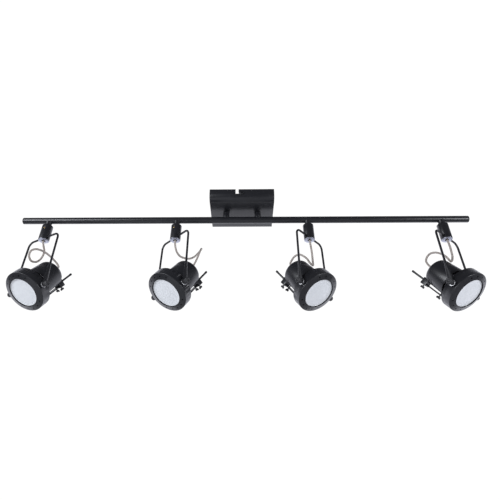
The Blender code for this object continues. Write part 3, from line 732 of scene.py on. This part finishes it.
# The slot's upright leg opens at the rim; its foot runs across to the screw.
SCREW_DROP = 13.8
through = canopy_high.y + 2
carve(canopy, block("leg", (-18.05, -through, -16.2), (-9.55, through, 2)))
carve(canopy, block("foot", (-12.0, -through, -16.2), (0.0, through, -11.4)))
ends = turned("foot_end", ((0, -through), (2.4, -through), (2.4, through),
                           (0, through)), "Y", 24)
carve(canopy, shifted(ends, 0, 0, -SCREW_DROP))
rounded(canopy, 0.35, 2, 50)
fix(canopy, POWDER, "black_powder_coat", "root", "canopy_cover")
print("canopy faces:", len(canopy.data.polygons))


# %% [markdown]
# The canopy screws are pan heads with a cross recess. The head is turned with
# a domed edge, and the recess is cut with two thin blocks.

# %% Canopy screws
def pan_head(name, radius, height, shank, length):
    """A pan-head screw along +Y with its head's underside at the origin."""
    dome = arc((radius - 1.4, -height + 1.4), 1.4, -90, 0, 6)
    screw = turned(name, [(0, -height), *dome, (radius, 0), (shank, 0),
                          (shank, length), (0, length)], "Y", 40)
    wide, thin, deep = radius * 0.62, radius * 0.13, height * 0.55
    carve(screw, block("recess", (-wide, -height - 1, -thin),
                       (wide, -height + deep, thin)))
    carve(screw, block("recess", (-thin, -height - 1, -wide),
                       (thin, -height + deep, wide)))
    return rounded(screw, 0.12, 1, 50)


SEAT = canopy_high.y + 0.3
for side, angle in (("front", 0), ("back", 180)):
    screw = pan_head(f"cover_screw_{side}", 5.0, 3.2, 2.0, 7.2)
    screw.data.transform(turn(angle, "Z") @ Matrix.Translation(
        Vector((0, -SEAT, -SCREW_DROP)) * MM))
    fix(screw, STEEL, "black_steel", "root", f"canopy_screw_{side}")

earth_screw = pan_head("end_screw", 3.2, 2.2, 1.6, 5.0)
earth_screw.data.transform(Matrix.Translation(
    Vector((canopy_low.x, -40.0, -16.0)) * MM) @ turn(-90, "Z"))
fix(earth_screw, ZINC, "zinc_plate", "root")
print("canopy screws seat from the middle, mm:", round(SEAT, 1))

# %% [markdown]
# ## Inside the canopy
#
# The bracket and the terminal block are right as the CAD made them, so copies
# of their meshes are merged, cleared of needless edges, and get rounded edges.
# The block's wire screws stand in wells on its lower face.


# %% Bracket and terminal block
def refined(node, name, width):
    """A copy of a CAD node with merged faces and rounded edges."""
    piece = copied(frame["nodes"][node], name)
    for key in list(piece.keys()):
        del piece[key]
    piece.parent = None
    edit(piece)
    bpy.ops.mesh.select_all(action="SELECT")
    bpy.ops.mesh.remove_doubles(threshold=0.000005)
    bpy.ops.mesh.dissolve_limited(angle_limit=math.radians(0.5))
    leave()
    return rounded(piece, width, 2, 30)


bracket = refined("mounting_bracket", "ceiling_bracket", 0.3)
fix(bracket, ZINC, "zinc_plate", "root", "mounting_bracket")
terminals = refined("terminal_block", "terminal_body", 0.6)
fix(terminals, CERAMIC, "ceramic", "root", "terminal_block")
block_low, block_high = (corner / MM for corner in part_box("terminal_block"))
wire_screws = []
for column in (-1, 0, 1):
    for row in (-1, 1):
        screw = turned("wire_screw", ((0, -1.2), (1.2, -1.2), (1.7, -0.7), (1.7, 0.6),
                                      (0, 0.6)), "Z", 20)
        carve(screw, block("slot", (-2, -0.3, -2), (2, 0.3, -0.6)))
        shifted(screw, column * 10.0,
                (block_low.y + block_high.y) / 2 + row * 4.2, block_low.z)
        wire_screws.append(rounded(screw, 0.1, 1, 50))
fix(joined(*wire_screws), BRASS, "brass", "root").name = "wire_screws"
print("wire screws:", len(wire_screws), "bracket faces:", len(bracket.data.polygons))

# %% [markdown]
# ## The bar
#
# The bar is a 20 mm tube with a pressed cap in each end: a fine line shows
# where cap and tube meet. Each of the four necks is a short turned stub welded
# under it, with a small fillet of weld at its root. Two posts hold the bar
# away from the canopy, each saddled on the tube and fixed by a nut inside.

# %% Bar, necks and posts
bar_radius = BAR_RADIUS / MM
bar_end = BAR_HALF / MM
half_bar = [(0, 0), (bar_radius - 1.6, 0), (bar_radius - 0.5, 0.4), (bar_radius, 1.3),
            (bar_radius, 2.6), (bar_radius - 0.35, 2.8), (bar_radius - 0.35, 3.1),
            (bar_radius, 3.3)]
profile = ([(r, h - bar_end) for r, h in half_bar]
           + [(r, bar_end - h) for r, h in reversed(half_bar)])
bar = turned("round_bar", profile, "X", 64)
bar.data.transform(Matrix.Translation((0, 0, BAR_AXIS)))
rounded(bar, 0.15, 2, 20)
fix(bar, POWDER, "black_powder_coat", "root", "bar_tube")

NECK_END = -19.5
neck = turned("swivel_neck", [(0, NECK_END - 18), (6, NECK_END - 18), (6, NECK_END),
                              (8.6, NECK_END), (9.0, NECK_END + 0.4), (9.0, -8.4),
                              (9.5, -7.2), (9.5, -5), (0, -5)], "Z", 48)
rounded(neck, 0.2, 2, 30)
for number in HEADS:
    copy = copied(neck, f"swivel_neck_{number}")
    copy.data.transform(swivel_space[number])
    fix(copy, POWDER, "black_powder_coat", "root")
bpy.data.objects.remove(neck)

for side in ("left", "right"):
    low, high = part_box(f"canopy_post_{side}")
    middle = (low + high) / 2
    top = canopy_low.z - 0.1
    post = turned(f"bar_post_{side}", [
        (0, top - 22), (9.3, top - 22), (9.5, top - 21.8), (9.5, top - 3.6),
        (9.1, top - 3.4), (9.1, top - 2.9), (9.5, top - 2.7), (9.5, top - 0.4),
        (9.1, top), (0, top)], "Z", 48)
    saddle = turned("saddle", [(0, -30), (bar_radius + 0.05, -30),
                               (bar_radius + 0.05, 30), (0, 30)], "X", 64)
    saddle.data.transform(Matrix.Translation((0, 0, BAR_AXIS)))
    carve(post, saddle)
    post.data.transform(Matrix.Translation((middle.x, 0, 0)))
    rounded(post, 0.15, 2, 30)
    fix(post, POWDER, "black_powder_coat", "root", f"canopy_post_{side}")
    nut_low = canopy_low.z + SHEET + 0.1
    washer = turned("nut_washer", [(4.9, nut_low), (9.0, nut_low),
                                   (9.0, nut_low + 1.0), (4.9, nut_low + 1.0)],
                    "Z", 40, closed=True)
    nut = turned("nut", [(4.9, nut_low + 1), (8.1, nut_low + 1), (8.1, nut_low + 4.6),
                         (4.9, nut_low + 4.6)], "Z", 6, closed=True)
    nipple = turned("nipple", [(3.2, nut_low - 2), (4.8, nut_low - 2),
                               (4.8, high.z / MM), (3.2, high.z / MM)],
                    "Z", 32, closed=True)
    for item in (washer, nut, nipple):
        rounded(item, 0.2, 1, 30)
    hardware = joined(washer, nut, nipple)
    hardware.name = f"post_nut_{side}"
    hardware.data.transform(Matrix.Translation((middle.x, 0, 0)))
    fix(hardware, ZINC, "zinc_plate", "root")
print("bar length, mm:", round(2 * bar_end, 1))

# %% [markdown]
# ## The swivels
#
# A hub is a turned sleeve that hangs on the neck's spigot. A grub screw bears
# in the spigot's groove, so the hub turns but can't drop. The yoke's crossbar
# passes through a cross hole near the bottom, and the cable leaves through a
# hole in the satin cap of the lower end. A thin plastic bush lines that hole.

# %% Hubs
HUB_TOP = -19.8
HUB_BOTTOM = -72.0
HUB_RADIUS = 15.5
YOKE_DROP = 61.8
YOKE_ROD = 3.0
SCREW_HEIGHT = -34.0
SCREW_TURN = 28.0
hub = turned("hub_sleeve", [
    (6.4, HUB_TOP), (HUB_RADIUS - 1.7, HUB_TOP), (HUB_RADIUS, HUB_TOP - 1.7),
    (HUB_RADIUS, HUB_BOTTOM + 1.9), (HUB_RADIUS - 0.4, HUB_BOTTOM + 1.5),
    (5.0, HUB_BOTTOM + 1.5), (5.0, HUB_BOTTOM + 8),
    (6.4, HUB_BOTTOM + 14)], "Z", 72, closed=True)
cross = turned("cross_hole", [(0, -20), (YOKE_ROD + 0.35, -20), (YOKE_ROD + 0.35, 20),
                              (0, 20)], "X", 32)
carve(hub, shifted(cross, 0, 0, -YOKE_DROP))
grub_turn = turn(SCREW_TURN, "Z")
grub_hole = turned("grub_hole", [(0, -20), (2.3, -20), (2.3, -8), (0, -8)], "Y", 28)
grub_hole.data.transform(grub_turn @ Matrix.Translation((0, 0, SCREW_HEIGHT * MM)))
carve(hub, grub_hole)
rounded(hub, 0.3, 2, 30)
per_head(hub, swivel_space, POWDER, "black_powder_coat", "swivel", "swivel_hub")

grub = turned("grub_screw", [(0, -14.9), (1.0, -14.9), (1.0, -15.3), (2.0, -15.3),
                             (2.2, -15.0), (2.2, -7.0), (0, -7.0)], "Y", 28)
carve(grub, block("slot", (-2.5, -16, -0.3), (2.5, -14.4, 0.3)))
grub.data.transform(grub_turn @ Matrix.Translation((0, 0, SCREW_HEIGHT * MM)))
rounded(grub, 0.1, 1, 50)
per_head(grub, swivel_space, BRASS, "brass", "swivel")

cap = turned("hub_cap", [
    (5.0, HUB_BOTTOM + 1.45), (5.0, HUB_BOTTOM), (HUB_RADIUS - 1.3, HUB_BOTTOM),
    (HUB_RADIUS - 0.5, HUB_BOTTOM + 0.8), (HUB_RADIUS - 0.5, HUB_BOTTOM + 1.45)],
    "Z", 72, closed=True)
rounded(cap, 0.15, 1, 30)
per_head(cap, swivel_space, SATIN, "zinc_plate", "swivel")

bush = turned("outlet_bush", [(3.15, HUB_BOTTOM - 0.9), (4.3, HUB_BOTTOM - 0.9),
                              (6.0, HUB_BOTTOM - 0.1), (4.95, HUB_BOTTOM - 0.05),
                              (4.95, HUB_BOTTOM + 6), (3.15, HUB_BOTTOM + 6)],
              "Z", 40, closed=True)
rounded(bush, 0.15, 1, 30)
per_head(bush, swivel_space, RUBBER, "knob_plastic", "swivel")

# %% [markdown]
# ## The yokes
#
# Each yoke is one steel rod, bent twice, whose legs are pressed flat towards
# their feet. Its path is drawn by extruding a point, made a curve with a round
# section and turned back into a mesh. Then every ring of the lower leg is
# scaled: wider across, thinner through, as the press would leave it. The foot
# ends in a half circle round the eye for the pivot screw.

# %% Yokes
YOKE_BEND = 16.0
LEG_TOP = 63.4          # leg's distance from the middle at the bend
LEG_FOOT = 65.9         # and at the pivot
FLAT_END = 12.0         # the foot is flat up to here above the pivot
ROUND_START = 75.0      # and the leg is round from here
EYE = 6.6               # half width of the flattened foot
FLAT = 1.5              # its half thickness


def leg_section(height):
    """Half width and half thickness of a leg at a height above its pivot."""
    if height < 0:
        return math.sqrt(max(EYE ** 2 - height ** 2, 0.3)), FLAT
    share = min(max((height - FLAT_END) / (ROUND_START - FLAT_END), 0.0), 1.0)
    share = share * share * (3 - 2 * share)
    return EYE + (YOKE_ROD - EYE) * share, FLAT + (YOKE_ROD - FLAT) * share


leg = PIVOT_DROP - YOKE_DROP - YOKE_BEND
eye_heights = [-EYE * math.sin(math.radians(a)) for a in range(88, 0, -11)]
leg_heights = eye_heights + [FLAT_END * i / 2 for i in range(2)]
leg_heights += [FLAT_END + (ROUND_START - FLAT_END) * i / 18 for i in range(19)]
leg_heights += [leg]


def leg_x(height):
    share = max((height - FLAT_END) / (leg - FLAT_END), 0.0)
    return LEG_FOOT + (LEG_TOP - LEG_FOOT) * share


half_path = [Vector((leg_x(h), 0, h - PIVOT_DROP)) for h in leg_heights]
half_path += [Vector((x, 0, z)) for x, z in arc(
    (LEG_TOP - YOKE_BEND, -YOKE_DROP - YOKE_BEND), YOKE_BEND, 0, 90, 12)[1:]]
rod_path = [p * MM for p in half_path]
rod_path += [Vector((-p.x, 0, p.z)) * MM for p in reversed(half_path)]

yoke = drawn("bent_yoke", rod_path)
only(yoke)
bpy.ops.object.convert(target="CURVE")
yoke.data.dimensions = "3D"
yoke.data.bevel_depth = YOKE_ROD * MM
yoke.data.bevel_resolution = 6
yoke.data.use_fill_caps = True
bpy.ops.object.convert(target="MESH")
outward(yoke)

for side in (-1, 1):
    for height in leg_heights[:-1]:
        width, thick = leg_section(height)
        middle = Vector((side * leg_x(height), 0, height - PIVOT_DROP)) * MM
        edit(yoke)
        pick(yoke, "vertices", lambda v: v.co.x * side > 0.05
             and abs(v.co.z - middle.z) < 0.0001)
        bpy.ops.transform.resize(value=(thick / YOKE_ROD, width / YOKE_ROD, 1),
                                 center_override=middle)
        leave()
eye_tool = turned("eye_tool", [(0, -80), (2.7, -80), (2.7, 80), (0, 80)], "X", 32)
eye_tool.data.transform(Matrix.Translation((0, 0, -PIVOT_DROP * MM)))
carve(yoke, eye_tool)
rounded(yoke, 0.15, 1, 50)
per_head(yoke, swivel_space, STEEL, "black_steel", "swivel", "yoke")

# %% [markdown]
# ## The lamp rings
#
# The ring is a turned drum whose front folds in to a dished lip. Ten small
# holes through the dish let warm air out: five over the top and five under the
# bottom, none towards the pivots. A boss on each side takes the pivot screw,
# and a lug behind the bottom edge carries the rail.

# %% Rings
RING_RADIUS = 60.0
RING_BORE = 57.6
RING_FRONT = 14.7
RING_LIP = 19.9
RING_REAR = 12.0
APERTURE = 42.9
BOSS_FACE = 63.0
HOLE_CIRCLE = 51.5
HOLE_RADIUS = 1.9
HOLE_ANGLES = (45.0, 67.5, 90.0, 112.5, 135.0)

ring = turned("lamp_ring", [
    (RING_RADIUS, RING_REAR), (RING_RADIUS, -RING_FRONT + 1.6),
    *arc((RING_RADIUS - 1.6, -RING_FRONT + 1.5), 1.6, 0, -70, 5),
    (APERTURE + 0.5, -RING_LIP - 0.05), (APERTURE, -RING_LIP + 0.4),
    (APERTURE, -RING_LIP + 1.9), (RING_BORE, -RING_FRONT + 2.6),
    (RING_BORE, RING_REAR)], "Y", 144, closed=True)
bosses = [turned("boss", [(0, 58.4), (9.9, 58.4), (9.5, 60.6), (9.5, BOSS_FACE - 0.5),
                          (9.0, BOSS_FACE), (0, BOSS_FACE)], "X", 48)
          for side in (-1, 1)]
bosses[0].data.transform(turn(180, "Z"))
for boss in bosses:
    carve(ring, boss, "UNION")
carve(ring, block("lug", (-9, RING_REAR - 4, -58.4), (9, RING_REAR, -50.8)), "UNION")
drill = turned("pivot_drill", [(0, -80), (2.9, -80), (2.9, 80), (0, 80)], "X", 32)
carve(ring, drill)
drills = []
for angle in HOLE_ANGLES + tuple(-a for a in HOLE_ANGLES):
    hole = turned("air_hole", [(0, -25), (HOLE_RADIUS, -25), (HOLE_RADIUS, -10),
                               (0, -10)], "Y", 24)
    place = Vector((math.cos(math.radians(angle)), 0, math.sin(math.radians(angle))))
    drills.append(shifted(hole, *(place * HOLE_CIRCLE)))
carve(ring, joined(*drills))
rounded(ring, 0.22, 2, 32)
per_head(ring, head_space, POWDER, "black_powder_coat", "head", "bezel_ring")

# %% [markdown]
# The lamp itself has a frosted front glass with a thin bright rim, sealed by a
# dark gasket behind the ring's holes. Its silvered bowl shows through the gap
# between ring and cup, and the neck with its two pins ends in a ceramic holder.

# %% Lamps
GLASS_FRONT = 17.4
glass = turned("front_glass", [
    (0, -GLASS_FRONT), (14, -GLASS_FRONT + 0.1), (28, -GLASS_FRONT + 0.4),
    (40.6, -GLASS_FRONT + 0.9), (41.2, -GLASS_FRONT + 0.3), (42.0, -GLASS_FRONT + 0.3),
    (42.4, -GLASS_FRONT + 1.0), (44.0, -13.6), (44.0, -12.2), (0, -14.0)], "Y", 96)
rounded(glass, 0.15, 2, 30)
per_head(glass, head_space, GLASS, "lamp_white", "head")

gasket = turned("lamp_gasket", [(44.2, -15.0), (54.6, -12.0), (55.4, -11.0),
                                (55.4, -7.4), (44.2, -10.5)], "Y", 96, closed=True)
rounded(gasket, 0.3, 2, 30)
per_head(gasket, head_space, RUBBER, "knob_plastic", "head")

BOWL_START = -7.2
BOWL_END = 48.0
LAMP_NECK = 14.5
LAMP_END = 60.0
bowl_line = [(LAMP_NECK + (54.0 - LAMP_NECK) * (1 - i / 16) ** 0.78,
              BOWL_START + 0.6 + (BOWL_END - BOWL_START - 0.6) * i / 16)
             for i in range(17)]
bowl = turned("lamp_bowl", [(0, BOWL_START), (55.0, BOWL_START),
                            (55.4, BOWL_START + 0.4), *bowl_line,
                            (LAMP_NECK, LAMP_END - 1.0), (LAMP_NECK - 1, LAMP_END),
                            (0, LAMP_END)], "Y", 72)
rounded(bowl, 0.3, 2, 40)
per_head(bowl, head_space, SILVER, "lamp_white", "head", "reflector_lamp")
for number in HEADS:
    holder = frame["nodes"][f"lampholder_{number}"]
    holder.data.materials.clear()
    holder.data.materials.append(CERAMIC)

# %% [markdown]
# ## The rear cups
#
# The cup is spun from thin sheet: almost straight sides, a round rear edge and
# a rolled mouth. Three narrow vents run part of the way round each side near
# the back. Each vent tool is a thin blade spun through the vent's angle.

# %% Cups and glands
CUP_MOUTH = 31.0
CUP_MOUTH_RADIUS = 41.5
CUP_SHOULDER_RADIUS = 39.0
CUP_BEND = 14.0
CUP_REAR = 98.0
CUP_WALL = 1.5
VENT_PLACES = (70.0, 75.5, 81.0)
VENT_WIDTH = 1.8
VENT_ANGLE = 84.0


def cup_line(inset, mouth):
    bend = CUP_BEND - inset
    return [(CUP_MOUTH_RADIUS - inset, mouth)] + arc(
        (CUP_SHOULDER_RADIUS - CUP_BEND, CUP_REAR - CUP_BEND), bend, 0, 90, 12)


cup = turned("cup_shell", cup_line(0.0, CUP_MOUTH) + [(4.0, CUP_REAR),
             (4.0, CUP_REAR - CUP_WALL)]
             + list(reversed(cup_line(CUP_WALL, CUP_MOUTH))), "Y", 112, closed=True)
vents = []
for side in (-1, 1):
    for vent in VENT_PLACES:
        blade = block("vent", (34, vent - VENT_WIDTH / 2, -0.01),
                      (46, vent + VENT_WIDTH / 2, 0.01))
        edit(blade, "FACE")
        pick(blade, "polygons", lambda f: f.normal.z < 0.5)
        bpy.ops.mesh.delete(type="FACE")
        bpy.ops.mesh.select_all(action="SELECT")
        bpy.ops.mesh.spin(steps=24, angle=math.radians(VENT_ANGLE), center=(0, 0, 0),
                          axis=(0, 1, 0))
        leave()
        outward(blade)
        spread = [v.co.xz.angle_signed(Vector((1, 0))) for v in blade.data.vertices]
        middle = math.degrees(min(spread) + max(spread)) / 2
        blade.data.transform(turn(90 - 90 * side - middle, "Y"))
        vents.append(blade)
carve(cup, joined(*vents))
rounded(cup, 0.2, 2, 32)
per_head(cup, head_space, POWDER, "black_powder_coat", "head", "rear_cup")

gland = turned("cable_gland", [
    (3.1, 95.6), (7.6, 95.6), (7.6, 96.4), (4.0, 96.5), (4.0, CUP_REAR + 0.05),
    (7.8, CUP_REAR + 0.05), (7.4, 99.4), (6.0, 99.7), (6.0, 100.5), (6.8, 100.8),
    (6.6, 101.8), (5.4, 102.1), (5.4, 102.7), (6.0, 103.0), (5.6, 104.0),
    (3.6, 104.1), (3.1, 103.6)], "Y", 40, closed=True)
rounded(gland, 0.15, 1, 30)
per_head(gland, head_space, RUBBER, "knob_plastic", "head")

# %% [markdown]
# ## Pivot knobs
#
# A knob on each side clamps the yoke's foot on the boss, over a bright washer.
# Its edge is ribbed for the fingers: the drum is spun in steps, and every
# second pair of its side points is drawn in towards the axis.

# %% Knobs and washers
KNOB_START = 67.7
KNOB_END = 80.5
KNOB_RADIUS = 7.5
RIBS = 18
for side, angle in (("left", 180), ("right", 0)):
    washer = turned(f"pivot_washer_{side}", [(2.9, 63.15), (8.4, 63.15), (8.4, 64.25),
                                             (2.9, 64.25)], "X", 48, closed=True)
    washer.data.transform(turn(angle, "Z"))
    rounded(washer, 0.25, 2, 40)
    per_head(washer, head_space, ZINC, "zinc_plate", "head")

    knob = turned(f"ribbed_knob_{side}", [
        (0, 58.6), (2.3, 58.6), (2.5, 58.9), (2.5, KNOB_START), (6.4, KNOB_START),
        (6.9, KNOB_START + 0.5), (6.9, KNOB_START + 1.6), (KNOB_RADIUS, KNOB_START + 2.2),
        (KNOB_RADIUS, KNOB_END - 1.6), (KNOB_RADIUS - 0.7, KNOB_END - 0.3),
        (KNOB_RADIUS - 1.4, KNOB_END), (4.0, KNOB_END), (3.4, KNOB_END - 1.6),
        (1.4, KNOB_END - 1.9), (0, KNOB_END - 1.9)], "X", RIBS * 4)
    edit(knob)

    def in_groove(v):
        angle = math.degrees(math.atan2(v.co.y, v.co.z)) % 360
        return (math.hypot(v.co.y, v.co.z) > (KNOB_RADIUS - 0.1) * MM
                and round(angle / 360 * RIBS * 4) % 4 < 2)

    pick(knob, "vertices", in_groove)
    bpy.ops.transform.resize(value=(1, 0.915, 0.915), center_override=(0, 0, 0))
    leave()
    knob.data.transform(turn(angle, "Z"))
    rounded(knob, 0.12, 1, 35)
    per_head(knob, head_space, KNOB, "knob_plastic", f"knob_{side}",
             f"pivot_knob_{side}")

# %% [markdown]
# ## Rail, clamp block and rod
#
# A slotted rail runs back from the ring's lug under the cup. Its lower face is
# cross-ribbed, so the screws grip. A block clamps the cup's foot to the rail,
# and the aiming rod stands out of the block: it is the cool handle by which a
# hot lamp is turned. Two butterfly screws lock the setting.

# %% Rails
rail_start = RING_REAR + 0.3
RAIL_TOP = -45.2
RAIL_THICK = 3.3
RAIL_HALF = 7.5
RAIL_END = 106.0
RIB_PITCH = 3.3
rail = block("slotted_rail", (-RAIL_HALF, rail_start, RAIL_TOP - RAIL_THICK),
             (RAIL_HALF, RAIL_END, RAIL_TOP))
edit(rail, "FACE")
bpy.ops.mesh.select_all(action="SELECT")
bpy.ops.mesh.bisect(plane_co=(0, (rail_start + RAIL_THICK) * MM, 0),
                    plane_no=(0, 1, 0))
leave()
edit(rail, "FACE")
pick(rail, "polygons", lambda f: f.normal.z < -0.9
     and f.center.y < (rail_start + RAIL_THICK) * MM)
bpy.ops.mesh.extrude_region_move(TRANSFORM_OT_translate={
    "value": (0, 0, (-58.8 - RAIL_TOP + RAIL_THICK) * MM)})
leave()
outward(rail)
slot_tool = block("slot_tool", (-2.2, rail_start + 14.2, RAIL_TOP - 8),
                  (2.2, RAIL_END - 8.2, RAIL_TOP + 3))
ends = [turned("slot_end", [(0, RAIL_TOP - 8), (2.2, RAIL_TOP - 8), (2.2, RAIL_TOP + 3),
                            (0, RAIL_TOP + 3)], "Z", 24) for end in range(2)]
ends[0].data.transform(Matrix.Translation((0, (rail_start + 14.2) * MM, 0)))
ends[1].data.transform(Matrix.Translation((0, (RAIL_END - 8.2) * MM, 0)))
for tool in (slot_tool, *ends):
    carve(rail, tool)
ribs = [block("rib", (-9, y, RAIL_TOP - RAIL_THICK - 1),
              (9, y + RIB_PITCH / 2, RAIL_TOP - RAIL_THICK + 0.6))
        for y in (rail_start + 9 + RIB_PITCH * i for i in range(19))]
carve(rail, joined(*ribs))
rounded(rail, 0.25, 2, 40)
per_head(rail, head_space, STEEL, "black_steel", "head", "support_rail")

# %% Clamp blocks and rods
for number in HEADS:
    clamp = refined(f"clamp_block_{number}", f"cup_clamp_{number}", 0.7)
    fix(clamp, POWDER, "black_powder_coat", f"head_{number}", f"clamp_block_{number}")

ROD_DROP = -39.4
rod = turned("aiming_handle", [
    (0, 93), (2.6, 93), (2.9, 93.3), (2.9, 145), (3.2, 145.1), (3.4, 145.5),
    (3.4, 151.4), *arc((1.8, 151.4), 1.6, 0, 90, 5), (0, 153)], "Y", 36)
shifted(rod, 0, 0, ROD_DROP)
rounded(rod, 0.12, 1, 35)
per_head(rod, head_space, STEEL, "black_steel", "head", "aiming_rod")

# %% [markdown]
# A butterfly screw is a turned boss with two flat ears. Each ear starts as a
# disc, is pulled out sideways and is fused to the boss. The first screw locks
# the clamp block. The second sits on the rail's slot, where each head's lamp
# needed it: crosswise close behind the lamp, or lengthwise further forward.

# %% Butterfly screws
NECK_Z = -51.8


def butterfly(name, top, crosswise):
    """A butterfly screw on the Z axis, its ears below the block or rail."""
    boss = turned(name, [(0, top), (1.9, top), (1.9, NECK_Z - 4.2), (3.0, NECK_Z - 4.4),
                         (3.0, NECK_Z - 6.0), (2.4, NECK_Z - 9.4), (1.9, NECK_Z - 9.9),
                         (0, NECK_Z - 9.9)], "Z", 28)
    for side in (-1, 1):
        ear = turned("ear", [(0, -0.8), (2.6, -0.8), (2.9, -0.5), (2.9, 0.5),
                             (2.6, 0.8), (0, 0.8)], "X", 28)
        ear.data.transform(Matrix.Translation((0, side * 3.7 * MM, -7.1 * MM))
                           @ turn(side * 28, "X") @ Matrix.Diagonal((1, 1.0, 1.25, 1)))
        carve(boss, shifted(ear, 0, 0, NECK_Z), "UNION")
    if crosswise:
        boss.data.transform(turn(90, "Z"))
    return rounded(boss, 0.12, 1, 40)


WING_Y = 95.5
wing = butterfly("clamp_wing", -44.0, False)
shifted(wing, 0, WING_Y, 0)
per_head(wing, head_space, STEEL, "black_steel", "wing", "wing_screw")

RAIL_WING = {1: 79.0, 2: 79.0, 3: 75.0, 4: 39.0}
for crosswise, numbers in ((True, (1, 2, 3)), (False, (4,))):
    for number in numbers:
        screw = butterfly(f"rail_wing_{number}", -43.0, crosswise)
        shifted(screw, 0, RAIL_WING[number], RAIL_TOP - RAIL_THICK - NECK_Z - 0.1)
        screw.data.transform(head_space[number])
        fix(screw, STEEL, "black_steel", f"head_{number}")
print("rail screws behind the tilt axes, mm:", RAIL_WING)

# %% [markdown]
# ## Studio
#
# The fixture hangs before a bright white sweep, above a small pale table. The
# sweep is the sky's rear half: faces seen at a glancing angle mirror it, and
# faces turned to the table or to the front stay dark. A cool key light on the
# left and a broader one on the right light the lamps' glasses. To the camera
# the whole sky is plain white.

# %% Floor and lights
FLOOR_HEIGHT = -1.45
bpy.ops.object.select_all(action="DESELECT")
bpy.ops.mesh.primitive_plane_add(size=3.6, location=(0, 0, FLOOR_HEIGHT))
floor = bpy.context.object
floor.name = "floor"
pale = Finish("pale_floor", (0.80, 0.80, 0.81), roughness=0.8)
pale.feed("Roughness", 0.76 + pale.noise(3.0) * 0.08)
floor.data.materials.append(pale.material)


def softbox(name, place, size, power, color):
    """A rectangular area light, width by height, facing the fixture."""
    light = bpy.data.lights.new(name, "AREA")
    light.shape = "RECTANGLE"
    light.size, light.size_y = size
    light.energy = power
    light.color = color
    lamp = bpy.data.objects.new(name, light)
    bpy.context.scene.collection.objects.link(lamp)
    lamp.location = place
    aim = Vector((0, 0, -0.2)) - Vector(place)
    lamp.rotation_euler = aim.to_track_quat("-Z", "Y").to_euler()
    lamp.visible_camera = False
    return lamp


softbox("key", (-2.3, -1.8, 0.05), (1.9, 0.7), 62.0, (0.92, 0.95, 1.0))
softbox("fill", (4.0, -2.6, -0.9), (1.2, 1.2), 105.0, (0.93, 0.95, 1.0))
print("floor height, m:", FLOOR_HEIGHT)


# %% Sky
class Sky(Finish):
    """The world's nodes, built with the same helpers as a material's."""

    def __init__(self, world):
        self.tree = world.node_tree


world = bpy.data.worlds.new("white_sweep")
world.use_nodes = True
bpy.context.scene.world = world
sky = Sky(world)
ray = sky.node("ShaderNodeTexCoord", output="Generated")
parts = sky.node("ShaderNodeSeparateXYZ", sockets={0: ray})


def fade(value, start, end):
    return sky.node("ShaderNodeMapRange", {"interpolation_type": "SMOOTHSTEP"},
                    {"Value": value, "From Min": start, "From Max": end})


sweep = (fade(parts.output(1), 0.10, 0.50) * fade(parts.output(2), -0.70, -0.60)
         * fade(parts.output(2), 0.86, 0.62))
soft = world.node_tree.nodes["Background"]
soft.inputs["Color"].default_value = (0.90, 0.91, 1.0, 1)
sky.join(sweep * 1.25 + 0.16, soft.inputs["Strength"])
seen = sky.node("ShaderNodeBackground", sockets={"Color": (1, 1, 1, 1),
                                                 "Strength": 1.05})
straight = sky.node("ShaderNodeLightPath", output="Is Camera Ray")
both = sky.node("ShaderNodeMixShader", sockets={
    0: straight, 1: Value(sky, soft.outputs[0]), 2: seen})
sky.join(both, world.node_tree.nodes["World Output"].inputs["Surface"])

# %% Update the view layer
bpy.context.view_layer.update()
